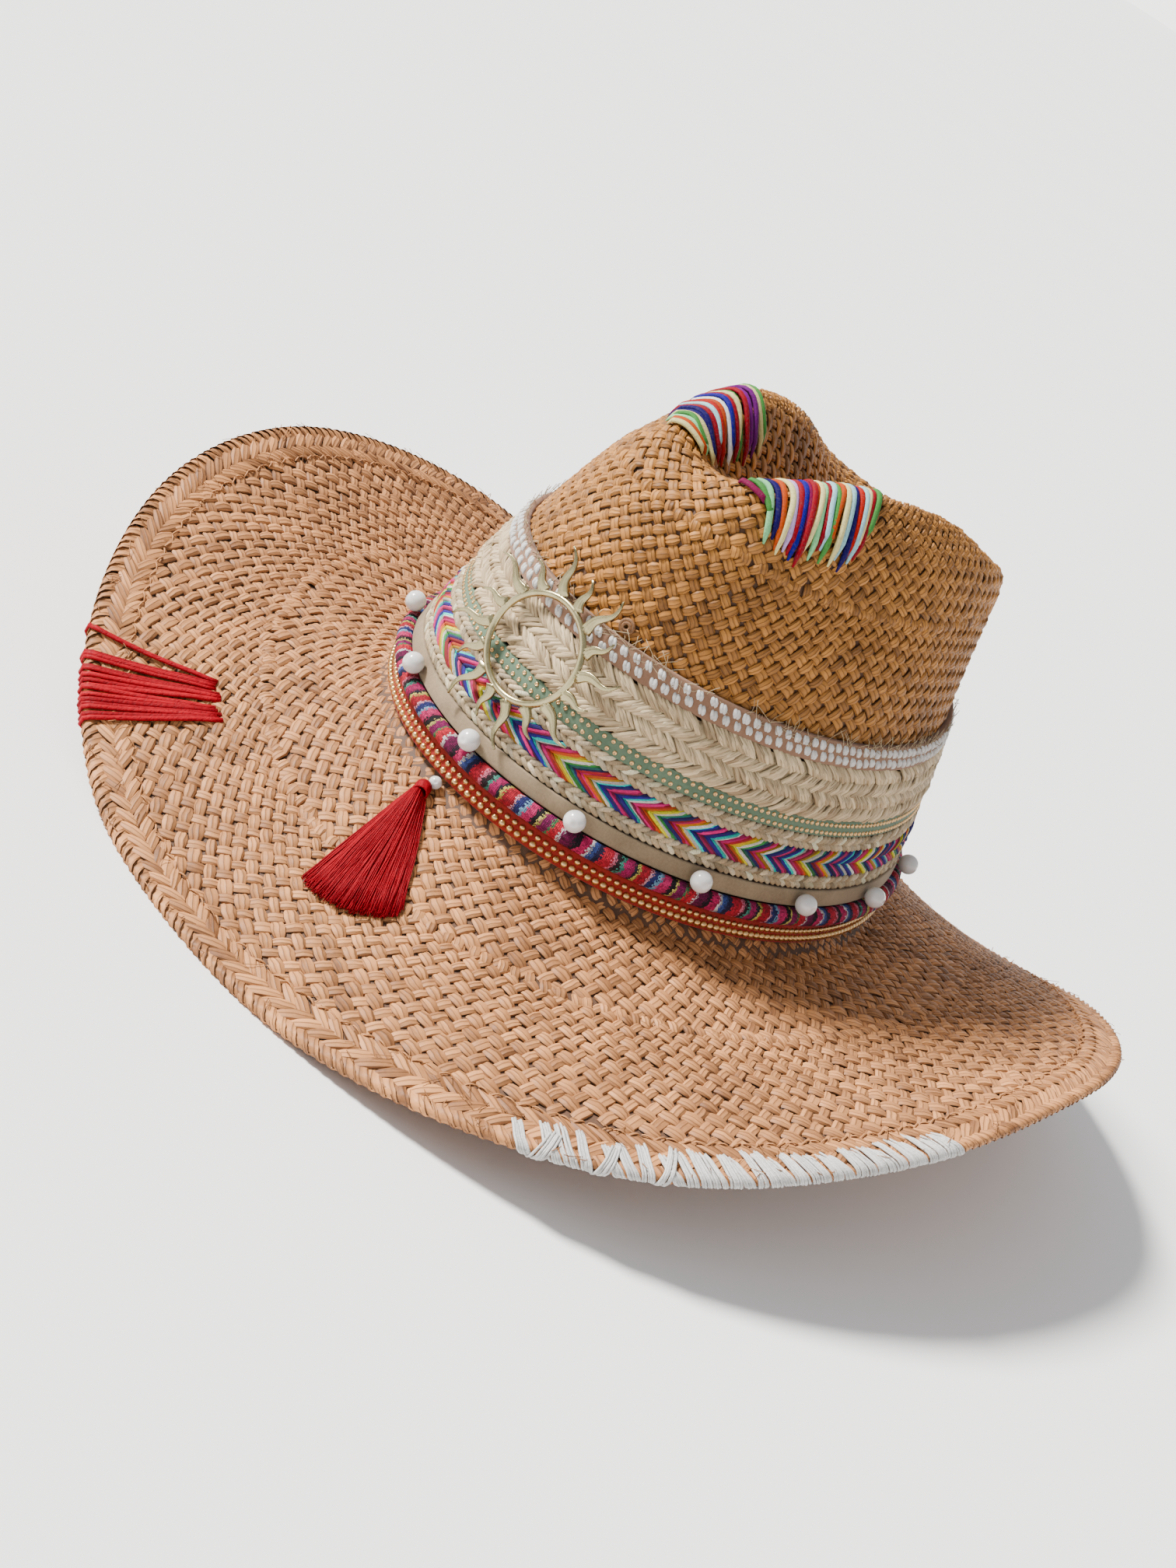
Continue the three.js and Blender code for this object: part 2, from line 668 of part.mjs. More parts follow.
// One lock of the tassel, lying on the brim and fanning out from the head
function lockGeometry(head, along, across, fan) {
  const steps = 3;
  const sections = [];
  for (let step = 0; step <= steps; step += 1) {
    const share = step / steps;
    const reach = share * (TASSEL_LENGTH - TASSEL_HEAD_DIAMETER / 2) * mix(1, LOCK_OUTER_LENGTH, fan * fan);
    const spread = mix(LOCK_HEAD_SPREAD, 1, share ** 0.85) * (TASSEL_SKIRT_WIDTH / 2);
    const wide = Math.max((LOCK_OVERLAP * spread) / TASSEL_LOCKS, TASSEL_HEAD_DIAMETER / 4);
    const high = (TASSEL_LOCK_THICKNESS / 2) * mix(1, LOCK_TIP_HEIGHT, share);
    const plan = head.clone().addScaledVector(along, reach);
    plan.addScaledVector(across, fan * (spread - wide));
    const under = brimUnder(plan.x, plan.y);
    const center = under.clone().setZ(under.z + high + 2 * SEAT_GAP);
    sections.push({ center, across, up: new THREE.Vector3(0, 0, 1), wide, high });
  }
  return tubeGeometry(sections, 6);
}

// A white bead at the foot of the bands, and the tassel that hangs from it over the brim
function addTassel() {
  const out = new THREE.Vector3(Math.cos(radians(TASSEL_ANGLE)), Math.sin(radians(TASSEL_ANGLE)), 0);
  const foot = brimPoint(TASSEL_ANGLE, 0).addScaledVector(out, SEAT_GAP);
  const up = new THREE.Vector3(0, 0, 1);
  addBead("tassel_bead", "pearl", BEAD_DIAMETER, { point: foot, out: up }, BEAD_DIAMETER / 2 + SEAT_GAP);
  const along = out.clone().applyAxisAngle(up, radians(TASSEL_LEAN));
  const across = new THREE.Vector3().crossVectors(up, along);
  const plan = foot.clone().addScaledVector(along, (BEAD_DIAMETER + TASSEL_HEAD_DIAMETER) / 2 + SEAT_GAP);
  const under = brimUnder(plan.x, plan.y);
  const radius = TASSEL_HEAD_DIAMETER / 2;
  const headGeometry = new THREE.SphereGeometry(radius, BEAD_SIDES, BEAD_SIDES / 2);
  headGeometry.rotateX(Math.PI / 2);
  headGeometry.translate(under.x, under.y, under.z + radius + 2 * SEAT_GAP);
  let tassel = toSolid(headGeometry);
  for (let lock = 0; lock < TASSEL_LOCKS; lock += 1) {
    const fan = (2 * lock) / (TASSEL_LOCKS - 1) - 1;
    tassel = tassel.add(toSolid(lockGeometry(plan, along, across, fan)));
  }
  addPiece("tassel", "red_thread", fromSolid(tassel));
}

addPiece("woven_body", "straw", wovenBody());
addBands();
addPearls();
addSun();
addTassel();

// Stands the hat on the floor with the middle of its box over the origin
const box = new THREE.Box3().setFromObject(pieces);
pieces.position.set(-(box.min.x + box.max.x) / 2, -(box.min.y + box.max.y) / 2, FLOOR_TO_BASE);

export default hat;
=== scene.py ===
import math

import bpy
import numpy as np
from mathutils import Matrix, Vector
from mathutils.bvhtree import BVHTree


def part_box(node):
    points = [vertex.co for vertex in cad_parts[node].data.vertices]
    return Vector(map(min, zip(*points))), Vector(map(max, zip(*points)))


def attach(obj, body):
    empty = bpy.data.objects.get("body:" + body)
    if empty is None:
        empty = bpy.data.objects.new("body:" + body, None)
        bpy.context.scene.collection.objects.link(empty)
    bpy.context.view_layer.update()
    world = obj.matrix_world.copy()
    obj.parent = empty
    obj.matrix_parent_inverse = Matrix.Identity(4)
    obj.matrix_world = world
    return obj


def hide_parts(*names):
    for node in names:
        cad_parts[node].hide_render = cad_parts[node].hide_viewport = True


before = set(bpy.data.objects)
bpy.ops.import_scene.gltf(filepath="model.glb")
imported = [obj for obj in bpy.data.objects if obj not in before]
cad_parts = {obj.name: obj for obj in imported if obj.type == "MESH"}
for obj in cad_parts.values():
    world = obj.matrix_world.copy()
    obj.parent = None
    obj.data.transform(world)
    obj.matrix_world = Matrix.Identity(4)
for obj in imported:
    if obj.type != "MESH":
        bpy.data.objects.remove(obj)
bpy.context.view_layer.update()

# Lengths are in metres, named here in millimetres
MM = 0.001

# The hat's own places: the crown's base oval and its height over the floor
HEAD_HALF_WIDTH = 86 * MM
HEAD_HALF_LENGTH = 104 * MM
BASE_HEIGHT = 40.8 * MM
BASE_FILLET = 4 * MM
STRAW_WALL = 2.5 * MM
HUB_X = (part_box("red_stud_lace")[0].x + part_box("red_stud_lace")[1].x) / 2
EYE_RISE = 60 * MM

# How deep the smooth shell lies under the woven strands
SHELL_SINK = 0.8 * MM

# Bands by their run up the crown's wall
SEAT_GAP = 0.3 * MM
RED_LACE = (4.6 * MM, 11.6 * MM, 2.0 * MM)
CORD = (11.9 * MM, 17.9 * MM, 6.0 * MM)
BEIGE_LACE = (18.2 * MM, 23.8 * MM, 2.6 * MM)
JUTE_BRAID = (24.1 * MM, 41.9 * MM, 3.2 * MM)
GREEN_LACE = (42.2 * MM, 47.8 * MM, 1.8 * MM)
CREAM_BRAID = (48.1 * MM, 64.7 * MM, 3.4 * MM)
TOP_LACE = (65.0 * MM, 73.0 * MM, 2.2 * MM)

# Grid of the sampled surfaces
ROUND = 336
CROWN_RAYS = 80
RUN_STEP = 1 * MM
BRIM_STEPS = 32
EDGE_STEPS = 4
FILLET_STEPS = 2
BRIM_SPAN = 2 + EDGE_STEPS / BRIM_STEPS
BRIM_FOOT = -FILLET_STEPS / BRIM_STEPS

FLOOR_GAP = 0.05 * MM

random = np.random.default_rng(7)


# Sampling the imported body

def node_tree(name):
    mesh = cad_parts[name].data
    points = [vertex.co.copy() for vertex in mesh.vertices]
    return BVHTree.FromPolygons(points, [tuple(face.vertices) for face in mesh.polygons])


def ray_hits(tree, origin, way, count):
    """The first places where a ray meets the body"""
    found = []
    start = Vector(origin)
    way = Vector(way).normalized()
    for _ in range(count):
        place = tree.ray_cast(start, way)[0]
        if place is None:
            break
        found.append(place)
        start = place + way * 0.05 * MM
    return found


def unit(vectors):
    return vectors / np.maximum(np.linalg.norm(vectors, axis=-1, keepdims=True), 1e-12)


def blurred(grid, reach, axis, wraps):
    """A grid smoothed along one axis, with its ends kept in place unless it wraps"""
    edge = int(math.ceil(3 * reach))
    offsets = np.arange(-edge, edge + 1)
    weights = np.exp(-0.5 * (offsets / reach) ** 2)
    weights /= weights.sum()
    if wraps:
        return sum(weight * np.roll(grid, offset, axis) for weight, offset in zip(weights, offsets))
    pads = [(0, 0)] * grid.ndim
    pads[axis] = (edge, edge)
    padded = np.pad(grid, pads, mode="reflect", reflect_type="odd")
    length = grid.shape[axis]
    parts = [
        weight * np.take(padded, range(edge + offset, edge + offset + length), axis)
        for weight, offset in zip(weights, offsets)
    ]
    return sum(parts)


def base_radius(azimuth):
    return 1 / math.hypot(math.cos(azimuth) / HEAD_HALF_WIDTH, math.sin(azimuth) / HEAD_HALF_LENGTH)


def crown_samples(tree):
    """Points up the crown's outer face to the middle of its top, one line for each azimuth"""
    eye = Vector((HUB_X, 0, BASE_HEIGHT + EYE_RISE))
    lines = []
    for turn in range(ROUND):
        azimuth = 2 * math.pi * turn / ROUND
        flat = Vector((math.cos(azimuth), math.sin(azimuth), 0))
        radius = base_radius(azimuth)
        line = [Vector((HUB_X, 0, BASE_HEIGHT)) + flat * radius]
        low = math.atan2(BASE_FILLET - EYE_RISE, radius)
        for step in range(CROWN_RAYS):
            rise = low + (math.pi / 2 - low) * step / (CROWN_RAYS - 1)
            way = flat * math.cos(rise) + Vector((0, 0, math.sin(rise)))
            line.append(ray_hits(tree, eye, way, 2)[-1])
        lines.append(line)
    return np.array(lines)


def brim_samples(tree):
    """Points over the brim's upper face, round its edge and back under it, for each azimuth"""
    lines, flats = [], []
    for turn in range(ROUND):
        azimuth = 2 * math.pi * turn / ROUND
        flat = Vector((math.cos(azimuth), math.sin(azimuth), 0))
        inner = base_radius(azimuth) + BASE_FILLET
        near, far = inner, inner + 150 * MM
        for _ in range(14):
            middle = (near + far) / 2
            found = ray_hits(tree, flat * middle + Vector((HUB_X, 0, 0.4)), (0, 0, -1), 1)
            near, far = (middle, far) if found else (near, middle)
        upper, lower = [], []
        for step in range(BRIM_STEPS + 1):
            reach = inner + (near - STRAW_WALL / 2 - inner) * step / BRIM_STEPS
            top, bottom = ray_hits(tree, flat * reach + Vector((HUB_X, 0, 0.4)), (0, 0, -1), 2)
            upper.append(top)
            lower.append(bottom)
        lines.append((upper, lower))
        flats.append(flat)
    upper = np.array([line[0] for line in lines])
    lower = np.array([line[1] for line in lines])
    return upper, lower, np.array(flats)


def run_spaced(lines):
    """The crown's lines with a point for each step of run from the base"""
    lengths = np.linalg.norm(np.diff(lines, axis=1), axis=2)
    runs = np.concatenate([np.zeros((len(lines), 1)), np.cumsum(lengths, axis=1)], axis=1)
    steps = np.arange(0, runs[:, -1].max() + RUN_STEP, RUN_STEP)
    spaced = np.empty((len(lines), len(steps), 3))
    for turn, line in enumerate(lines):
        for axis in range(3):
            spaced[turn, :, axis] = np.interp(steps, runs[turn], line[:, axis])
    return spaced, runs[:, -1]


def grid_normals(grid, swapped):
    round_way = np.roll(grid, -1, 0) - np.roll(grid, 1, 0)
    across_way = np.gradient(grid, axis=1)
    normals = np.cross(across_way, round_way) if swapped else np.cross(round_way, across_way)
    weak = np.linalg.norm(normals, axis=-1) < 1e-9
    normals = unit(normals)
    normals[weak] = (0, 0, 1)
    return normals


def read_grid(grid, azimuth, row):
    """Values between the grid's points, at azimuths in degrees and rows in steps"""
    column = (np.asarray(azimuth) / 360 * ROUND) % ROUND
    left = np.floor(column).astype(int) % ROUND
    right = (left + 1) % ROUND
    side = (column - np.floor(column))[..., None]
    row = np.clip(np.asarray(row, float), 0, grid.shape[1] - 1.001)
    low = np.floor(row).astype(int)
    rise = (row - low)[..., None]
    lower = grid[left, low] * (1 - side) + grid[right, low] * side
    upper = grid[left, low + 1] * (1 - side) + grid[right, low + 1] * side
    return lower * (1 - rise) + upper * rise


body_tree = node_tree("woven_body")
crown_lines = blurred(blurred(crown_samples(body_tree), 2.6, 0, True), 1.2, 1, False)
crown_grid, crown_length = run_spaced(crown_lines)
crown_normals = grid_normals(crown_grid, False)
for turn in range(ROUND):
    last = int(crown_length[turn] / RUN_STEP) - 2
    crown_normals[turn, last:] = (0, 0, 1)
crest_run = crown_grid[:, 60:, 2].argmax(axis=1) * RUN_STEP + 60 * RUN_STEP
crest_run = blurred(crest_run, 4, 0, True)

upper_lines, lower_lines, flat_ways = brim_samples(body_tree)
upper_lines = blurred(blurred(upper_lines, 2.6, 0, True), 1.6, 1, False)
lower_lines = blurred(blurred(lower_lines, 2.6, 0, True), 1.6, 1, False)


def crown_at(azimuth, run):
    """Place and outward direction on the crown's outer face, at a run up its wall in metres"""
    row = np.asarray(run) / RUN_STEP
    return read_grid(crown_grid, azimuth, row), unit(read_grid(crown_normals, azimuth, row))


def fillet_lines():
    """Points round the fillet from the crown's wall down to the brim"""
    wall, _ = crown_at(np.arange(ROUND) * 360 / ROUND, np.full(ROUND, BASE_FILLET))
    chord = (wall + upper_lines[:, 0]) / 2
    return np.stack([wall, chord + (crown_grid[:, 0] - chord) * 0.41], 1)


def brim_profile():
    """Fillet, upper face, rounded edge, lower face and inner fillet as one grid"""
    top = upper_lines[:, -1]
    bottom = lower_lines[:, -1]
    middle = (top + bottom) / 2
    up = (top - bottom) / 2
    out = flat_ways * np.linalg.norm(up, axis=1, keepdims=True)
    edge = []
    for step in range(1, EDGE_STEPS):
        turn = math.pi / 2 - math.pi * step / EDGE_STEPS
        edge.append(middle + out * math.cos(turn) + up * math.sin(turn))
    fillet = fillet_lines()
    inside = fillet - flat_ways[:, None] * STRAW_WALL
    parts = [fillet, upper_lines, np.stack(edge, 1), lower_lines[:, ::-1], inside[:, ::-1]]
    return np.concatenate(parts, axis=1)


brim_grid = brim_profile()
brim_normals = grid_normals(brim_grid, True)


def brim_at(azimuth, share):
    """Place and outward direction on the brim: 0 to 1 over it, and on round its edge and back under"""
    row = np.asarray(share) * BRIM_STEPS + FILLET_STEPS
    return read_grid(brim_grid, azimuth, row), unit(read_grid(brim_normals, azimuth, row))


def crest_at(azimuth):
    return read_grid(crest_run[:, None, None].repeat(2, 1), azimuth, np.zeros(np.shape(azimuth)))[..., 0]


class Spread:
    """A surface in which a step along is as long as the same angle round, so that weave cells stay square"""

    STEP = 0.01

    def __init__(self, surface, rows, middle):
        columns = np.arange(ROUND) * 360 / ROUND
        places, _ = surface(np.repeat(columns[:, None], len(rows), 1), np.tile(rows, (ROUND, 1)))
        arcs = np.linalg.norm(np.roll(places[:, middle], -1, 0) - places[:, middle], axis=1)
        travel = np.concatenate([[0], np.cumsum(arcs)])
        even = np.interp(np.arange(ROUND) / ROUND * travel[-1], travel, np.arange(ROUND + 1) * 360 / ROUND)
        self.azimuths = even
        places, _ = surface(np.repeat(even[:, None], len(rows), 1), np.tile(rows, (ROUND, 1)))
        round_way = np.linalg.norm(np.roll(places, -1, 0) - np.roll(places, 1, 0), axis=2) / (4 * math.pi / ROUND)
        along = np.linalg.norm(np.diff(places, axis=1), axis=2) * 2 / (round_way[:, 1:] + round_way[:, :-1])
        paces = np.concatenate([np.zeros((ROUND, 1)), np.cumsum(along, axis=1)], axis=1)
        paces = blurred(paces, 3, 0, True)
        self.span = paces[:, -1].min()
        self.steps = np.arange(0, self.span, self.STEP)
        self.rows = np.array([np.interp(self.steps, pace, rows) for pace in paces])
        self.surface = surface

    def at(self, turn, pace):
        """Azimuth in degrees and row for an even angle round and a way along, both in radians"""
        degrees = np.degrees(turn) % 360
        table = np.concatenate([self.azimuths, [self.azimuths[0] + 360]])
        azimuth = np.interp(degrees / 360 * ROUND, np.arange(ROUND + 1), table)
        return azimuth, read_grid(self.rows[..., None], degrees, np.asarray(pace) / self.STEP)[..., 0]

    def place(self, turn, pace):
        return self.surface(*self.at(turn, pace))


class TopField:
    """The crown's top over a flat grid, for the weave and the threads that lie on it"""

    STEP = 1 * MM

    def __init__(self):
        tree = self.outer_tree()
        self.xs = np.arange(-70, 70.1, 1) * MM
        self.ys = np.arange(-105, 105.1, 1) * MM
        self.heights = np.full((len(self.xs), len(self.ys)), BASE_HEIGHT)
        for i, x in enumerate(self.xs):
            for j, y in enumerate(self.ys):
                hit = tree.ray_cast(Vector((x + HUB_X, y, 0.4)), Vector((0, 0, -1)))[0]
                if hit is not None:
                    self.heights[i, j] = hit.z
        self.slope_x, self.slope_y = np.gradient(self.heights, self.STEP)

    def outer_tree(self):
        azimuths = np.arange(0, ROUND, 2) * 360 / ROUND
        runs = np.arange(60 * MM, crown_length.max(), 2 * MM)
        grid, _ = crown_at(azimuths[:, None] * np.ones(len(runs)), np.ones((len(azimuths), 1)) * runs)
        around, rows = grid.shape[:2]
        row = np.arange(around)[:, None] * rows
        after = np.roll(row, -1, 0)
        column = np.arange(rows - 1)[None]
        faces = np.stack([row + column, after + column, after + column + 1, row + column + 1], -1).reshape(-1, 4)
        return BVHTree.FromPolygons([Vector(p) for p in grid.reshape(-1, 3)], faces.tolist())

    def read(self, values, x, y):
        column = np.clip((x - self.xs[0]) / self.STEP, 0, len(self.xs) - 1.001)
        row = np.clip((y - self.ys[0]) / self.STEP, 0, len(self.ys) - 1.001)
        i, j = np.floor(column).astype(int), np.floor(row).astype(int)
        s, t = column - i, row - j
        low = values[i, j] * (1 - s) + values[i + 1, j] * s
        high = values[i, j + 1] * (1 - s) + values[i + 1, j + 1] * s
        return low * (1 - t) + high * t

    def place(self, x, y):
        """Place and outward direction of the top, for plan places measured from the crown's middle"""
        out = np.stack([-self.read(self.slope_x, x, y), -self.read(self.slope_y, x, y), np.ones(np.shape(x))], -1)
        return np.stack([x + HUB_X, y, self.read(self.heights, x, y)], -1), unit(out)


def flipped(surface):
    """The same surface seen from the straw's other side"""
    def other(u, v):
        place, out = surface(u, v)
        return place - out * STRAW_WALL, -out
    return other


CREST_REACH = 11.5 * MM
brim_spread = Spread(brim_at, np.linspace(BRIM_FOOT, 1, 60), 31)
crown_spread = Spread(crown_at, np.arange(3, 156) * MM, 97)
top_field = TopField()


# Building meshes

class Batch:
    """Points and faces gathered for one piece, with a place on the strand, a tone and a tint for each point"""

    def __init__(self):
        self.count = 0
        self.points = []
        self.faces = []
        self.places = []
        self.tones = []
        self.tints = []

    def add(self, points, faces, places=None, tones=None, tints=None):
        number = len(points)
        self.points.append(points)
        self.faces.extend(np.asarray(part) + self.count for part in faces)
        self.places.append(np.zeros((number, 2)) if places is None else places)
        self.tones.append(np.full(number, 0.5) if tones is None else tones)
        self.tints.append(np.ones((number, 4)) if tints is None else tints)
        self.count += number


def make_piece(name, batch, material, replaced=()):
    points = np.concatenate(batch.points)
    points[:, 2] = np.maximum(points[:, 2], FLOOR_GAP)
    faces = [row for part in batch.faces for row in part.tolist()]
    mesh = bpy.data.meshes.new(name)
    mesh.from_pydata(points.tolist(), [], faces)
    mesh.polygons.foreach_set("use_smooth", [True] * len(mesh.polygons))
    corners = np.empty(len(mesh.loops), np.int32)
    mesh.loops.foreach_get("vertex_index", corners)
    places = np.concatenate(batch.places)[corners]
    mesh.uv_layers.new(name="strand").data.foreach_set("uv", places.ravel())
    mesh.attributes.new("tone", "FLOAT", "POINT").data.foreach_set("value", np.concatenate(batch.tones))
    tints = np.concatenate(batch.tints).ravel()
    mesh.attributes.new("tint", "FLOAT_COLOR", "POINT").data.foreach_set("color", tints)
    mesh.materials.append(material)
    mesh.update()
    piece = bpy.data.objects.new(name, mesh)
    bpy.context.scene.collection.objects.link(piece)
    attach(piece, "root")
    if replaced:
        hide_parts(*replaced)
    return piece


def lay(surface, u, v, lift):
    """Lines laid over a surface: their points, the ways across them and the ways off the surface"""
    place, out = surface(u, v)
    place = place + out * np.asarray(lift)[..., None]
    along = unit(np.gradient(place, axis=1))
    side = unit(np.cross(out, along))
    return place, side, np.cross(along, side)


# Sections of strands as (across, off) shares of the half width and the height
ARCH = np.array([(-1, -0.9), (-0.62, 0.0), (0.62, 0.0), (1, -0.9)])
SOFT_ARCH = np.array([(-1, -1.0), (-0.86, -0.25), (-0.4, 0.0), (0.4, 0.0), (0.86, -0.25), (1, -1.0)])
STRAWS = np.array([(-1, -0.9), (-0.8, -0.14), (-0.3, 0.0), (0.14, -0.2), (0.8, -0.06), (1, -0.9)])
YARN = np.array([(-1, -1.0), (-0.72, -0.15), (0, 0.05), (0.72, -0.15), (1, -1.0)])


def ring_section(sides):
    turns = -math.pi / 2 + 2 * math.pi * np.arange(sides) / sides
    return np.stack([np.cos(turns), np.sin(turns)], 1)


def add_strands(batch, place, side, out, half_width, height, section, tones, tints=None, closed=False, laps=1.0):
    """A strand along each line, with the given section"""
    strands, steps = place.shape[:2]
    corners = len(section)
    wide = np.broadcast_to(half_width, (strands, steps))[..., None, None]
    high = np.broadcast_to(height, (strands, steps))[..., None, None]
    points = place[:, :, None] + side[:, :, None] * wide * section[:, 0, None]
    points = points + out[:, :, None] * high * section[:, 1, None]
    spans = corners if closed else corners - 1
    one = np.arange(strands)[:, None, None] * steps * corners
    row = np.arange(steps - 1)[None, :, None] * corners
    corner = np.arange(spans)[None, None, :]
    after = (corner + 1) % corners
    quads = np.stack([one + row + corner, one + row + after, one + row + corners + after, one + row + corners + corner], -1)
    faces = [quads.reshape(-1, 4)]
    if closed:
        first = np.arange(strands)[:, None] * steps * corners
        faces.append(first + np.arange(corners)[::-1][None])
        faces.append(first + (steps - 1) * corners + np.arange(corners)[None])
    across = np.linspace(0, 1, corners)
    along = np.linspace(0, laps, steps)
    places = np.stack(np.broadcast_arrays(across[None, :], along[:, None]), -1)
    places = np.broadcast_to(places[None], (strands, steps, corners, 2)).reshape(-1, 2)
    tone = np.broadcast_to(np.asarray(tones, float)[:, None, None], (strands, steps, corners)).ravel()
    tint = None
    if tints is not None:
        tint = np.broadcast_to(np.asarray(tints, float)[:, None, None, :], (strands, steps, corners, 4)).reshape(-1, 4)
    batch.add(points.reshape(-1, 3), faces, places, tone, tint)


FLOAT_STEPS = np.array([-1.0, -0.62, 0.0, 0.62, 1.0])


def add_floats(batch, surface, u, v, reach_u, reach_v, half_width, height, dip, tones, taper=0.25, tints=None,
               section=ARCH, steps=FLOAT_STEPS, jitter=0.08, base_lift=0.0, thick=0.75 * MM):
    """Short strands that rise out of a surface and dive back into it at both ends"""
    count = len(u)
    shake = random.normal(0, jitter, (4, count))
    lines_u = u[:, None] + (reach_u * (1 + 0.6 * shake[0]))[:, None] * steps
    lines_v = v[:, None] + (reach_v * (1 + 0.6 * shake[1]))[:, None] * steps
    sag = np.abs(steps) ** 2.4
    lift = base_lift + (height * (1 + shake[2]))[:, None] * (1 - sag) - dip * sag
    place, side, out = lay(surface, lines_u, lines_v, lift)
    wide = (half_width * (1 + shake[3]))[:, None] * (1 - taper * steps ** 2)
    add_strands(batch, place, side, out, wide, thick, section, tones, tints)


# Materials

def new_material(name):
    material = bpy.data.materials.new(name)
    material.use_nodes = True
    tree = material.node_tree
    return material, tree, tree.nodes["Principled BSDF"]


def node(tree, kind, inputs=None, **settings):
    made = tree.nodes.new(kind)
    for key, value in settings.items():
        setattr(made, key, value)
    for key, value in (inputs or {}).items():
        if isinstance(value, bpy.types.NodeSocket):
            tree.links.new(value, made.inputs[key])
        else:
            made.inputs[key].default_value = value
    return made


def maths(tree, operation, first, second=0.0, third=0.0):
    return node(tree, "ShaderNodeMath", {0: first, 1: second, 2: third}, operation=operation).outputs[0]


def mixed(tree, share, first, second, blend="MIX"):
    made = node(tree, "ShaderNodeMix", {0: share, 6: first, 7: second}, data_type="RGBA", blend_type=blend)
    return made.outputs[2]


def ramp(tree, share, stops, kind="LINEAR"):
    made = node(tree, "ShaderNodeValToRGB", {0: share})
    made.color_ramp.interpolation = kind
    elements = made.color_ramp.elements
    while len(elements) < len(stops):
        elements.new(0.5)
    for element, (place, colour) in zip(elements, stops):
        element.position = place
    for element, (place, colour) in zip(elements, stops):
        element.color = (*colour, 1)
    return made.outputs[0]


def noise(tree, vector, scale, detail=3.0, roughness=0.55):
    made = node(tree, "ShaderNodeTexNoise", {"Vector": vector, "Scale": scale, "Detail": detail, "Roughness": roughness})
    return made.outputs[0]


def strand_places(tree):
    """The share across a strand, the share along it and its tone"""
    parts = node(tree, "ShaderNodeSeparateXYZ", {0: node(tree, "ShaderNodeUVMap", uv_map="strand").outputs[0]})
    tone = node(tree, "ShaderNodeAttribute", attribute_name="tone").outputs[2]
    return parts.outputs[0], parts.outputs[1], tone


def object_place(tree):
    return node(tree, "ShaderNodeTexCoord").outputs["Object"]


def bumped(tree, shader, height, strength, distance):
    made = node(tree, "ShaderNodeBump", {"Height": height, "Strength": strength, "Distance": distance})
    tree.links.new(made.outputs[0], shader.inputs["Normal"])


def strand_material(name, light, dark, fibres=5.0, stretch=0.8, roughness=0.55, edge=0.55, tinted=False,
                    grooves=0.35, twist=0.0, specular=0.3):
    """Strands of straw, fibre or thread: fine grooves along them, painted shade in the grooves and towards the edges,
    and a tone for each strand
    """
    material, tree, shader = new_material(name)
    across, along, tone = strand_places(tree)
    shift = maths(tree, "MULTIPLY", tone, 61.0)
    slant = maths(tree, "MULTIPLY", along, twist)
    line = maths(tree, "ADD", maths(tree, "MULTIPLY_ADD", across, fibres, shift), slant)
    flow = maths(tree, "MULTIPLY_ADD", along, stretch, shift)
    where = node(tree, "ShaderNodeCombineXYZ", {0: line, 1: flow, 2: tone}).outputs[0]
    grain = noise(tree, where, 1.0, 3.0, 0.6)
    fine = noise(tree, node(tree, "ShaderNodeVectorMath", {0: where, 1: (2.6, 1.4, 1)}, operation="MULTIPLY").outputs[0],
                 1.0, 2.0, 0.6)
    blotch = noise(tree, object_place(tree), 28.0, 2.0, 0.5)
    shade = maths(tree, "MULTIPLY_ADD", grain, 0.75, maths(tree, "MULTIPLY_ADD", blotch, 0.35, -0.1))
    shade = maths(tree, "MULTIPLY_ADD", tone, 0.45, maths(tree, "SUBTRACT", shade, 0.2))
    colour = mixed(tree, node(tree, "ShaderNodeClamp", {0: shade}).outputs[0], (*dark, 1), (*light, 1))
    if tinted:
        tint = node(tree, "ShaderNodeAttribute", attribute_name="tint").outputs[0]
        colour = mixed(tree, 1.0, colour, tint, "MULTIPLY")
    groove = maths(tree, "SMOOTH_MIN", maths(tree, "MULTIPLY", maths(tree, "SUBTRACT", fine, 0.36), 9.0), 1.0, 0.1)
    groove = node(tree, "ShaderNodeClamp", {0: groove}).outputs[0]
    off_middle = maths(tree, "ABSOLUTE", maths(tree, "MULTIPLY_ADD", across, 2.0, -1.0))
    # Painted shade: the colour darkens towards the strand's edges (weighed by edge) and in its grooves (weighed by
    # grooves), where neighbours and the strand's own relief shade it
    rim = maths(tree, "POWER", off_middle, 5.0)
    painted_shade = maths(tree, "MULTIPLY", maths(tree, "SUBTRACT", 1.0, groove), grooves)
    painted_shade = node(tree, "ShaderNodeClamp", {0: maths(tree, "MULTIPLY_ADD", rim, edge, painted_shade)}).outputs[0]
    colour = mixed(tree, painted_shade, colour, tuple(0.22 * c for c in dark) + (1,))
    tree.links.new(colour, shader.inputs["Base Color"])
    rough = maths(tree, "MULTIPLY_ADD", grain, 0.25, roughness - 0.12)
    tree.links.new(rough, shader.inputs["Roughness"])
    shader.inputs["Specular IOR Level"].default_value = specular
    height = maths(tree, "MULTIPLY_ADD", groove, 0.6, grain)
    bumped(tree, shader, height, 0.55, 0.25 * MM)
    return material


STRAWS_ACROSS = 3.2


